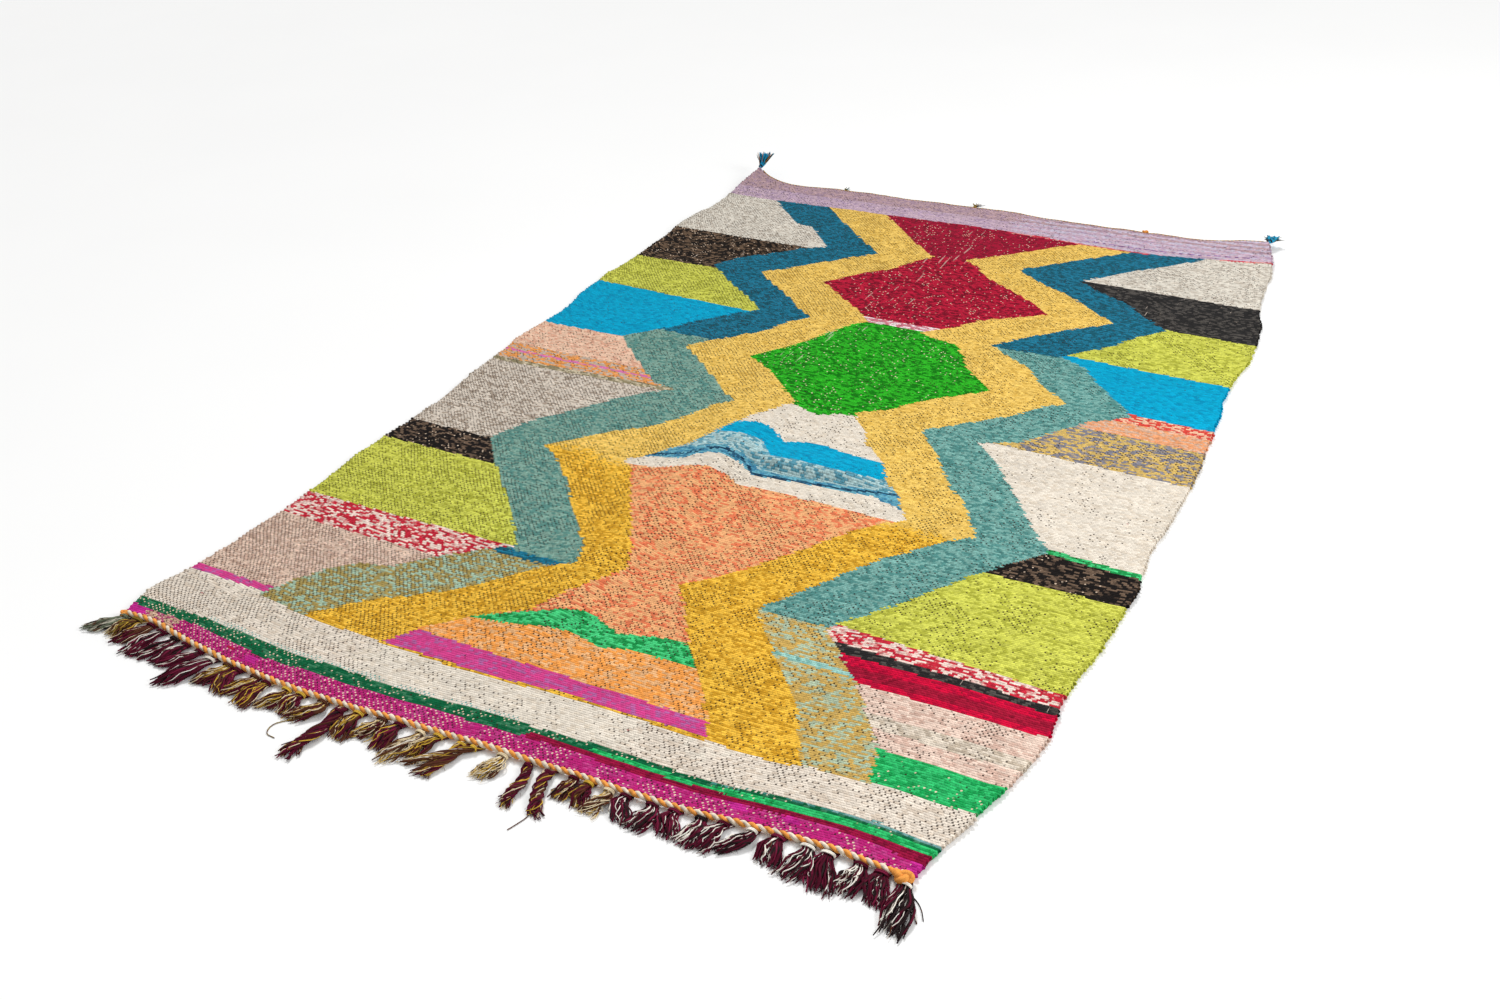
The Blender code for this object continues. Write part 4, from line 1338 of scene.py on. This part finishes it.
def selvedge_loops(side, rng):
    """Loops along the left (-1) or right (1) selvedge, with their places on the chart."""
    table = LEFT_SIDE if side < 0 else RIGHT_SIDE
    lengths, charts = [], []
    along = np.arange(table[0][0] + 0.003, table[-1][0] - 0.003, LOOP_PITCH)
    shares = (along - table[0][0]) / (table[-1][0] - table[0][0])
    edge_x, edge_y = outline_places(shares * 0 + (side > 0), shares)
    edge_x = edge_x + side * selvedge_lump(edge_y, 1 if side > 0 else 2)
    edge_z = fold_height(edge_x, edge_y) + fine_height(edge_x, edge_y)
    for x, y, z in zip(edge_x, edge_y, edge_z):
        radius = LOOP_RADIUS * rng.uniform(0.80, 1.15)
        out = LOOP_OUT * rng.uniform(0.45, 1.50)
        slant = rng.uniform(-0.0012, 0.0012)
        middle = z + radius + LOOP_RISE * 0.98
        points = [(x + side * (out * math.cos(a) - 0.0022), y + slant * math.sin(a),
                   middle + LOOP_RISE * math.sin(a)) for a in LOOP_ANGLES]
        lengths.append(sweep(points, [radius] * len(points), (1.0, 1.0, 1.0), sides=6))
        chart_x, chart_y = on_chart(x, y, z + CLOTH_THICKNESS)
        charts.append((chart_x - side * LOOP_CHART_INSET, chart_y, 0.0))
    return lengths, charts


rng = random.Random(21)
loop_finish = woven_finish("weft_turns", False)
for side, name in ((-1, "selvedge_left"), (1, "selvedge_right")):
    lengths, charts = selvedge_loops(side, rng)
    dress(join_lengths(name, lengths, charts), loop_finish, "woven_rag")

# %% [markdown]
# ## The twined cord
#
# Two soft rovings, one orange and one cream, are twisted round each other over every pair of warps
# to lock the last row. Along the edge they show by turns, an orange bead and then a cream one. So
# the cord is two helices half a turn apart, each a soft roving, and a fat orange knot ends it.

# %% Cord and knots
CORD_TURN = 0.0240
CORD_RADIUS = 0.0023
ROVING_RADIUS = 0.0032
CORD_STEPS_PER_TURN = 10
CORD_OUT = 0.0058
CORD_HEIGHT = 0.0060
CORD_START_X = -0.7665
CORD_END_X = 0.7440
CORD_ORANGE = linear("#f0a04e")
CORD_CREAM = linear("#eadcc6")


def end_edge(x, table):
    """Where an end of the cloth runs at x, and how high its underside is there."""
    y = smooth_curve(table, x)
    z = fold_height(x, y) + fine_height(x, y)
    return y, z


def helix(xs, table, out, height, radius, turn, start):
    """A helix along an end of the cloth, set out from its edge."""
    y, z = end_edge(xs, table)
    angle = math.tau * xs / turn + start + 0.9 * waves(xs / (4.3 * turn), xs * 0 + 5.5)
    return np.stack([xs, y + out + radius * np.cos(angle), z + height + radius * np.sin(angle)], axis=1)


def knot_path(centre, size, count=34):
    """A trefoil: a yarn tied once round itself."""
    t = np.linspace(0.0, math.tau, count, endpoint=False)
    x = (np.sin(t) + 2 * np.sin(2 * t)) / 3
    y = (np.cos(t) - 2 * np.cos(2 * t)) / 3
    z = -np.sin(3 * t)
    return np.array(centre) + np.stack([x * size[0], y * size[1], z * size[2]], axis=1) / 2


def speckled(rng, base, other, count, share=0.3, spread=0.12):
    """Tints along a length: mostly one colour, with flecks of another and uneven strength."""
    rows = []
    for _ in range(count):
        colour = other if rng.random() < share else base
        strength = 1 + rng.uniform(-spread, spread)
        rows.append([min(1.0, c * strength) for c in colour])
    return rows


steps = int((CORD_END_X - CORD_START_X) / CORD_TURN * CORD_STEPS_PER_TURN)
cord_xs = np.linspace(CORD_START_X, CORD_END_X, steps)
lengths = []
for start, colour in ((0.0, CORD_ORANGE), (math.pi, CORD_CREAM)):
    path = helix(cord_xs, FRINGED_END, -CORD_OUT, CORD_HEIGHT, CORD_RADIUS, CORD_TURN, start)
    radii = ROVING_RADIUS * (1 + 0.30 * waves(cord_xs / 0.013, cord_xs * 0 + start))
    lengths.append(sweep(path, radii, speckled(rng, colour, colour, steps, 0.0, 0.16), sides=8))
edge_y, _ = end_edge(np.array([CORD_END_X]), FRINGED_END)
for centre, size, thick in (
    ((0.742, edge_y[0] - 0.0100, 0.0100), (0.026, 0.015, 0.0056), 0.0054),
    ((-0.764, -1.1830, 0.0065), (0.014, 0.012, 0.0050), 0.0034),
):
    path = knot_path(centre, size)
    path = np.vstack([path, path[:1]])
    tints = speckled(rng, CORD_ORANGE, CORD_ORANGE, len(path), 0.0, 0.10)
    lengths.append(sweep(path, [thick] * len(path), tints, sides=8))
cord_finish = yarn_finish("roving", 900.0, 0.0008)
dress(join_lengths("twined_cord", lengths), cord_finish, "end_cord", "edge_cord_fringe")

# %% [markdown]
# ## The fringe
#
# The warps end in the fringe: they were tied in bunches, and each bunch is a tuft of plied yarn.
# Some were twisted into short ropes. A hair system could grow them, but each bunch has its own bend
# and its own mix of yarns, so a table gives them one by one, and a function lays the yarns of a
# bunch side by side along its bend, resting on the floor.

# %% Bunches
YARN_TONES = {
    "maroon": "#541428",
    "plum": "#76203c",
    "white": "#f6eee2",
    "cream": "#ead8b4",
    "black": "#2a1f20",
    "olive": "#8a7330",
    "yellow": "#d4ad42",
    "brown": "#5b3626",
    "grey_green": "#6d7460",
    "light": "#c9c6b4",
    "blue": "#2393bf",
    "deep_blue": "#2a9ac0",
    "green": "#2b5340",
    "orange": "#e0893a",
    "teal": "#1f5a5f",
}
YARN_TONES = {name: linear(tone) for name, tone in YARN_TONES.items()}
MIXES = {
    # yarns and how many of each among twenty
    "wine": [("maroon", 11), ("plum", 4), ("white", 3), ("black", 2)],
    "wine_gold": [("maroon", 9), ("plum", 2), ("yellow", 3), ("cream", 2), ("brown", 4)],
    "olive": [("olive", 7), ("brown", 5), ("cream", 4), ("yellow", 2), ("maroon", 2)],
    "gold": [("yellow", 5), ("cream", 4), ("brown", 6), ("maroon", 5)],
    "pale": [("cream", 9), ("yellow", 4), ("brown", 5), ("white", 2)],
    "moss": [("grey_green", 9), ("light", 6), ("black", 5)],
    "night": [("maroon", 10), ("black", 5), ("white", 5)],
    "grey": [("black", 10), ("white", 7), ("maroon", 3)],
}
BUNCHES = [
    # root x, tip x, tip y, width, mix, twist in turns, bend sideways
    (-0.757, -0.790, -1.240, 0.026, "moss", 0.0, 0.004),
    (-0.722, -0.742, -1.236, 0.034, "olive", 0.1, -0.006),
    (-0.690, -0.715, -1.246, 0.026, "wine_gold", 0.0, 0.004),
    (-0.655, -0.682, -1.262, 0.026, "wine", 0.0, -0.004),
    (-0.622, -0.645, -1.262, 0.022, "wine", 0.1, 0.005),
    (-0.588, -0.606, -1.258, 0.022, "wine", 0.0, 0.000),
    (-0.552, -0.590, -1.262, 0.020, "wine", 0.0, 0.004),
    (-0.512, -0.560, -1.297, 0.030, "wine", 0.1, -0.005),
    (-0.480, -0.490, -1.268, 0.026, "wine_gold", 0.2, 0.007),
    (-0.448, -0.450, -1.274, 0.024, "wine_gold", 0.0, -0.008),
    (-0.412, -0.428, -1.268, 0.024, "gold", 0.2, 0.006),
    (-0.378, -0.390, -1.284, 0.026, "wine_gold", 0.1, -0.005),
    (-0.340, -0.346, -1.270, 0.026, "gold", 0.2, 0.008),
    (-0.302, -0.312, -1.268, 0.026, "wine_gold", 0.1, -0.007),
    (-0.262, -0.276, -1.272, 0.026, "gold", 0.2, 0.008),
    (-0.222, -0.226, -1.342, 0.026, "wine_gold", 1.4, 0.006),
    (-0.182, -0.186, -1.276, 0.026, "gold", 0.2, -0.006),
    (-0.142, -0.148, -1.260, 0.026, "gold", 0.1, 0.006),
    (-0.104, -0.110, -1.268, 0.024, "wine_gold", 0.3, -0.005),
    (-0.064, -0.078, -1.288, 0.024, "pale", 0.4, 0.006),
    (-0.026, -0.050, -1.262, 0.024, "gold", 0.2, -0.006),
    (0.014, -0.002, -1.284, 0.024, "gold", 1.0, 0.005),
    (0.046, -0.046, -1.274, 0.016, "pale", 1.2, -0.004),
    (0.088, 0.085, -1.252, 0.026, "pale", 0.2, 0.004),
    (0.134, 0.156, -1.284, 0.019, "wine_gold", 1.6, 0.007),
    (0.178, 0.200, -1.282, 0.020, "wine_gold", 1.6, -0.006),
    (0.216, 0.220, -1.238, 0.020, "gold", 0.2, 0.004),
    (0.248, 0.252, -1.242, 0.022, "gold", 0.5, -0.006),
    (0.278, 0.276, -1.246, 0.024, "pale", 0.6, 0.008),
    (0.312, 0.326, -1.242, 0.024, "wine", 0.1, -0.006),
    (0.352, 0.356, -1.244, 0.026, "wine", 0.1, 0.007),
    (0.394, 0.398, -1.238, 0.026, "wine", 0.0, -0.005),
    (0.432, 0.440, -1.242, 0.026, "wine", 0.1, 0.006),
    (0.474, 0.452, -1.240, 0.026, "night", 0.1, -0.005),
    (0.514, 0.486, -1.230, 0.022, "night", 0.1, 0.004),
    (0.556, 0.552, -1.224, 0.028, "wine", 0.0, -0.005),
    (0.596, 0.600, -1.234, 0.030, "night", 0.1, 0.006),
    (0.632, 0.642, -1.238, 0.030, "wine", 0.0, -0.004),
    (0.678, 0.680, -1.226, 0.028, "night", 0.0, 0.005),
    (0.714, 0.724, -1.226, 0.030, "wine", 0.1, -0.004),
    (0.744, 0.768, -1.262, 0.030, "grey", 0.2, 0.005),
]
YARNS_PER_BUNCH = 44
BUNCH_STEPS = 14
BUNCH_HEIGHT = 0.0140
BODY_WIDTH = 1.58
THICK_YARN = 0.00155
THIN_YARN = 0.00080
TIE_SHARE = 0.22
ROOT_SETBACK = 0.0075


def bunch_root(root_x):
    """How far out a bunch leaves the cord."""
    return float(smooth_curve(FRINGED_END, np.array([root_x]))[0]) - ROOT_SETBACK


def choose_tones(rng, mix, count):
    """Yarn names for a bunch, in the shares of its mix."""
    names = [name for name, share in MIXES[mix] for _ in range(share)]
    return [rng.choice(names) for _ in range(count)]


def bunch_lengths(rng, bunch):
    """The yarns of one bunch, from the cord down and out over the floor."""
    root_x, tip_x, tip_y, width, mix, twist, bend = bunch
    width = width * BODY_WIDTH
    root_y = bunch_root(root_x)
    t = np.linspace(0.0, 1.0, BUNCH_STEPS)
    swell = np.interp(t, (0.0, TIE_SHARE, 0.55, 1.0), (0.52, 0.46, 1.0, 0.96))
    rise = np.interp(t, (0.0, TIE_SHARE, 0.60, 1.0), (0.0050, 0.0095, BUNCH_HEIGHT, 0.0055))
    if twist > 0.9:
        swell = np.interp(t, (0.0, 0.15, 0.72, 0.84, 1.0), (0.60, 0.62, 0.66, 0.55, 1.05))
        rise = np.interp(t, (0.0, 0.15, 0.80, 1.0), (0.0055, 0.0115, 0.0115, 0.0060))
    lengths = []
    for name in choose_tones(rng, mix, YARNS_PER_BUNCH):
        pale = name in ("white", "cream", "light", "yellow")
        angle = rng.uniform(0.3, 2.8) if pale and rng.random() < 0.7 else rng.uniform(0.0, math.tau)
        far = math.sqrt(rng.uniform(0.05, 1.0))
        radius = (THIN_YARN if pale else THICK_YARN) * rng.uniform(0.85, 1.2)
        reach = rng.uniform(0.84, 1.04) if rng.random() < 0.9 else rng.uniform(1.04, 1.10)
        turned = angle + math.tau * twist * t
        centre_x = root_x + (tip_x - root_x) * (t * reach) ** 1.2 + bend * np.sin(math.pi * t * 1.3)
        centre_y = root_y + (tip_y - root_y) * t * reach
        wave = rng.uniform(0.0010, 0.0032) * (1.6 if pale else 1.0)
        phase = rng.uniform(0.0, 6.28)
        turns = rng.uniform(1.2, 2.4) + (0.6 if pale else 0.0)
        wag = turns * 6.28 * t + phase
        off_x = far * np.cos(turned) * width / 2 * swell + wave * np.sin(wag) * t
        off_y = wave * np.cos(wag) * t
        height = radius + (1 + far * np.sin(turned)) * (rise - 2 * radius) / 2
        height = np.maximum(height, radius)
        points = np.stack([centre_x + off_x, centre_y + off_y, height], axis=1)
        radii = radius * np.interp(t, (0.0, 0.8, 1.0), (0.95, 1.0, 0.55))
        other = YARN_TONES["black"] if name in ("maroon", "plum", "black") else YARN_TONES["brown"]
        tints = speckled(rng, YARN_TONES[name], other, BUNCH_STEPS, 0.16, 0.22)
        lengths.append(sweep(points, radii, tints, sides=5))
    return lengths


def tie_lengths(rng, bunch):
    """Two turns of yarn that gather the bunch just below the cord."""
    root_x, tip_x, tip_y, width, mix, twist, bend = bunch
    root_y = bunch_root(root_x)
    share = TIE_SHARE * 0.55
    middle_x = root_x + (tip_x - root_x) * share ** 1.2 + bend * math.sin(math.pi * share * 1.3)
    middle_y = root_y + (tip_y - root_y) * share
    tone = YARN_TONES[choose_tones(rng, mix, 1)[0]]
    lengths = []
    for turn in range(2):
        angle = np.linspace(0.2, math.tau + 0.1, 12)
        across = (width * 0.34 + 0.0008) * np.cos(angle)
        up = 0.0060 + 0.0048 * np.sin(angle)
        slide = middle_y - 0.0026 * turn + 0.0012 * np.sin(angle * 0.5)
        points = np.stack([middle_x + across, slide, np.maximum(up, 0.0013)], axis=1)
        lengths.append(sweep(points, [0.0013] * 12, speckled(rng, tone, tone, 12, 0.0, 0.2), sides=5))
    return lengths


rng = random.Random(5)
fringe_finish = yarn_finish("plied_yarn")
halves = (("fringe_left", BUNCHES[:21]), ("fringe_right", BUNCHES[21:]))
for name, bunches in halves:
    lengths = []
    for bunch in bunches:
        lengths += bunch_lengths(rng, bunch) + tie_lengths(rng, bunch)
    dress(join_lengths(name, lengths), fringe_finish, "fringe_yarn", "edge_cord_fringe")

# %% Frayed ends and loose yarns
FUZZ_PER_BUNCH = 44
FUZZ_RADIUS = 0.00035
LOOSE_YARNS = [
    # tone, then the places it runs through
    ("olive", [(-0.262, -1.222), (-0.275, -1.262), (-0.300, -1.290), (-0.296, -1.312), (-0.276, -1.316)]),
    ("brown", [(0.190, -1.262), (0.197, -1.286), (0.192, -1.306), (0.186, -1.322)]),
    ("white", [(0.736, -1.180), (0.760, -1.196), (0.776, -1.212), (0.788, -1.230)]),
    ("black", [(0.742, -1.178), (0.770, -1.192), (0.784, -1.205), (0.794, -1.222)]),
    ("light", [(-0.762, -1.192), (-0.785, -1.200), (-0.803, -1.215), (-0.815, -1.232)]),
]


def fuzz_lengths(rng, bunch):
    """Short fine fibres that stand out of the lower half of a bunch."""
    root_x, tip_x, tip_y, width, mix, twist, bend = bunch
    root_y = bunch_root(root_x)
    lengths = []
    for name in choose_tones(rng, mix, FUZZ_PER_BUNCH):
        t = 1 - abs(rng.gauss(0.0, 0.28))
        if t < 0.25:
            continue
        x = root_x + (tip_x - root_x) * t ** 1.2 + bend * math.sin(math.pi * t * 1.3)
        x += rng.uniform(-0.5, 0.5) * width
        y = root_y + (tip_y - root_y) * t
        z = rng.uniform(0.001, 0.009) * (1.25 - t)
        reach = rng.uniform(0.004, 0.010)
        way = rng.uniform(-1.0, 1.0)
        points = [(x, y, z), (x + reach * way * 0.6, y - reach * 0.5, z + 0.001),
                  (x + reach * way, y - reach * rng.uniform(0.4, 1.0), max(z * 0.7, FUZZ_RADIUS))]
        lengths.append(sweep(points, [FUZZ_RADIUS, FUZZ_RADIUS, FUZZ_RADIUS * 0.5],
                             YARN_TONES[name], sides=3))
    return lengths


def loose_length(rng, name, places):
    """One loose yarn on the floor, on a smooth line through its places."""
    share = np.linspace(0, 1, len(places))
    fine = np.linspace(0, 1, 18)
    x = smooth_curve(list(zip(share, [p[0] for p in places])), fine)
    y = smooth_curve(list(zip(share, [p[1] for p in places])), fine)
    tone = YARN_TONES[name]
    return sweep(np.stack([x, y, fine * 0 + THIN_YARN], axis=1), [THIN_YARN] * 18,
                 speckled(rng, tone, YARN_TONES["brown"], 18, 0.3, 0.2), sides=5)


lengths = [length for bunch in BUNCHES for length in fuzz_lengths(rng, bunch)]
lengths += [loose_length(rng, name, places) for name, places in LOOSE_YARNS]
dress(join_lengths("frayed_ends", lengths), fringe_finish, "fringe_yarn", "edge_cord_fringe")

# %% [markdown]
# ## The plain end
#
# The far end was closed with a thin twined thread, and has two small tufts and a knot where yarns
# were joined. A tassel of blue rag and fuzzy yarn is tied to each corner.

# %% Thread, tufts and tassels
THREAD_TURN = 0.0090
THREAD_RADIUS = 0.0010
THREAD_STRAND = 0.0011
THREAD_OUT = 0.0022
THREAD_HEIGHT = 0.0036
THREAD_TONES = [linear("#d98f3c"), linear("#c9a53c"), linear("#28474c")]
THREAD_SETBACK = 0.014
TASSEL_YARNS = 44
RAG_STRIP = 0.0026
FUZZY_YARN = 0.0008
THREAD_TUFTS = [
    # x, length, yarns
    (-0.430, 0.016, ("teal", "brown", "yellow", "green")),
    (-0.040, 0.026, ("yellow", "brown", "olive", "black")),
]
TASSELS = [
    # piece, side, outward, length, rise, rag tone, fuzz tones
    ("corner_tassel_left", 0, (-0.10, 0.995), 0.046, 0.030, "blue",
     ("black", "green", "orange", "green")),
    ("corner_tassel_right", -1, (0.10, 0.995), 0.040, -0.004, "deep_blue",
     ("black", "grey_green", "brown")),
]


def tuft_lengths(rng, root, outward, length, rise, names, count, radius, spread):
    """Yarns that stand out of one place and fan apart."""
    root = np.array(root, float)
    outward = np.array((*outward, 0.0)) / math.hypot(*outward)
    across = np.array((outward[1], -outward[0], 0.0))
    t = np.linspace(0.0, 1.0, 7)
    lengths = []
    for _ in range(count):
        name = rng.choice(names)
        fan = rng.uniform(-1.0, 1.0) * spread
        lift = rng.uniform(-0.4, 1.0)
        reach = length * rng.uniform(0.55, 1.05)
        curl = rng.uniform(-0.004, 0.004)
        points = (root + np.outer(t * reach, outward)
                  + np.outer(fan * t ** 1.3 * reach + curl * np.sin(t * 5), across))
        points[:, 2] += (rise * 0.8 + lift * 0.008) * t ** 1.5 + rng.uniform(0.0, 0.004)
        points[:, 2] = np.maximum(points[:, 2], radius)
        radii = radius * np.interp(t, (0, 0.7, 1), (1.0, 1.0, 0.5))
        tints = speckled(rng, YARN_TONES[name], YARN_TONES["black"], 7, 0.1, 0.2)
        lengths.append(sweep(points, radii, tints, sides=4))
    return lengths


rng = random.Random(9)
steps = int(1.45 / THREAD_TURN * 8)
thread_xs = np.linspace(PLAIN_END[0][0] + THREAD_SETBACK, PLAIN_END[-1][0] - THREAD_SETBACK, steps)
lengths = []
for k, tone in enumerate(THREAD_TONES):
    start = math.tau * k / len(THREAD_TONES)
    path = helix(thread_xs, PLAIN_END, THREAD_OUT, THREAD_HEIGHT, THREAD_RADIUS, THREAD_TURN, start)
    lengths.append(sweep(path, [THREAD_STRAND] * steps, speckled(rng, tone, tone, steps, 0.0, 0.2), 5))
for x, length, names in THREAD_TUFTS:
    y, z = end_edge(np.array([x]), PLAIN_END)
    root = (x, y[0] + 0.002, z[0] + 0.003)
    lengths += tuft_lengths(rng, root, (0.1, 1.0), length, 0.001, names, 12, 0.0009, 0.8)
y, z = end_edge(np.array([0.44]), PLAIN_END)
path = knot_path((0.44, y[0] + 0.0050, z[0] + 0.0050), (0.014, 0.009, 0.005))
path = np.vstack([path, path[:1]])
lengths.append(sweep(path, [0.0024] * len(path), CORD_ORANGE, 6))
dress(join_lengths("far_thread", lengths), yarn_finish("thin_yarn"), "edge_thread", "far_edge_thread")

tassel_finish = yarn_finish("tassel_yarn")
for name, corner, outward, length, rise, rag, fuzz in TASSELS:
    x, y = PLAIN_END[corner]
    z = float(fold_height(np.array([x]), np.array([y]))[0])
    root = (x, y + 0.001, z + 0.003)
    lengths = tuft_lengths(rng, root, outward, length, rise, (rag,), TASSEL_YARNS, RAG_STRIP, 0.50)
    lengths += tuft_lengths(rng, root, outward, length * 0.95, rise, fuzz, TASSEL_YARNS, FUZZY_YARN, 0.72)
    wrap = np.linspace(0, 4 * math.pi, 26)
    way = np.array(outward) / math.hypot(*outward)
    ring = np.stack([
        x + way[0] * (0.003 + wrap * 0.0004) + way[1] * 0.0052 * np.cos(wrap),
        y + way[1] * (0.003 + wrap * 0.0004) - way[0] * 0.0052 * np.cos(wrap),
        z + 0.0055 + 0.0042 * np.sin(wrap) + rise * 0.02 * wrap / 6,
    ], axis=1)
    ring[:, 2] = np.maximum(ring[:, 2], 0.0014)
    lengths.append(sweep(ring, [0.0014] * 26, YARN_TONES["black"], 5))
    node = "tassel_far_left" if corner == 0 else "tassel_far_right"
    dress(join_lengths(name, lengths), tassel_finish, "tassel_rag", node)
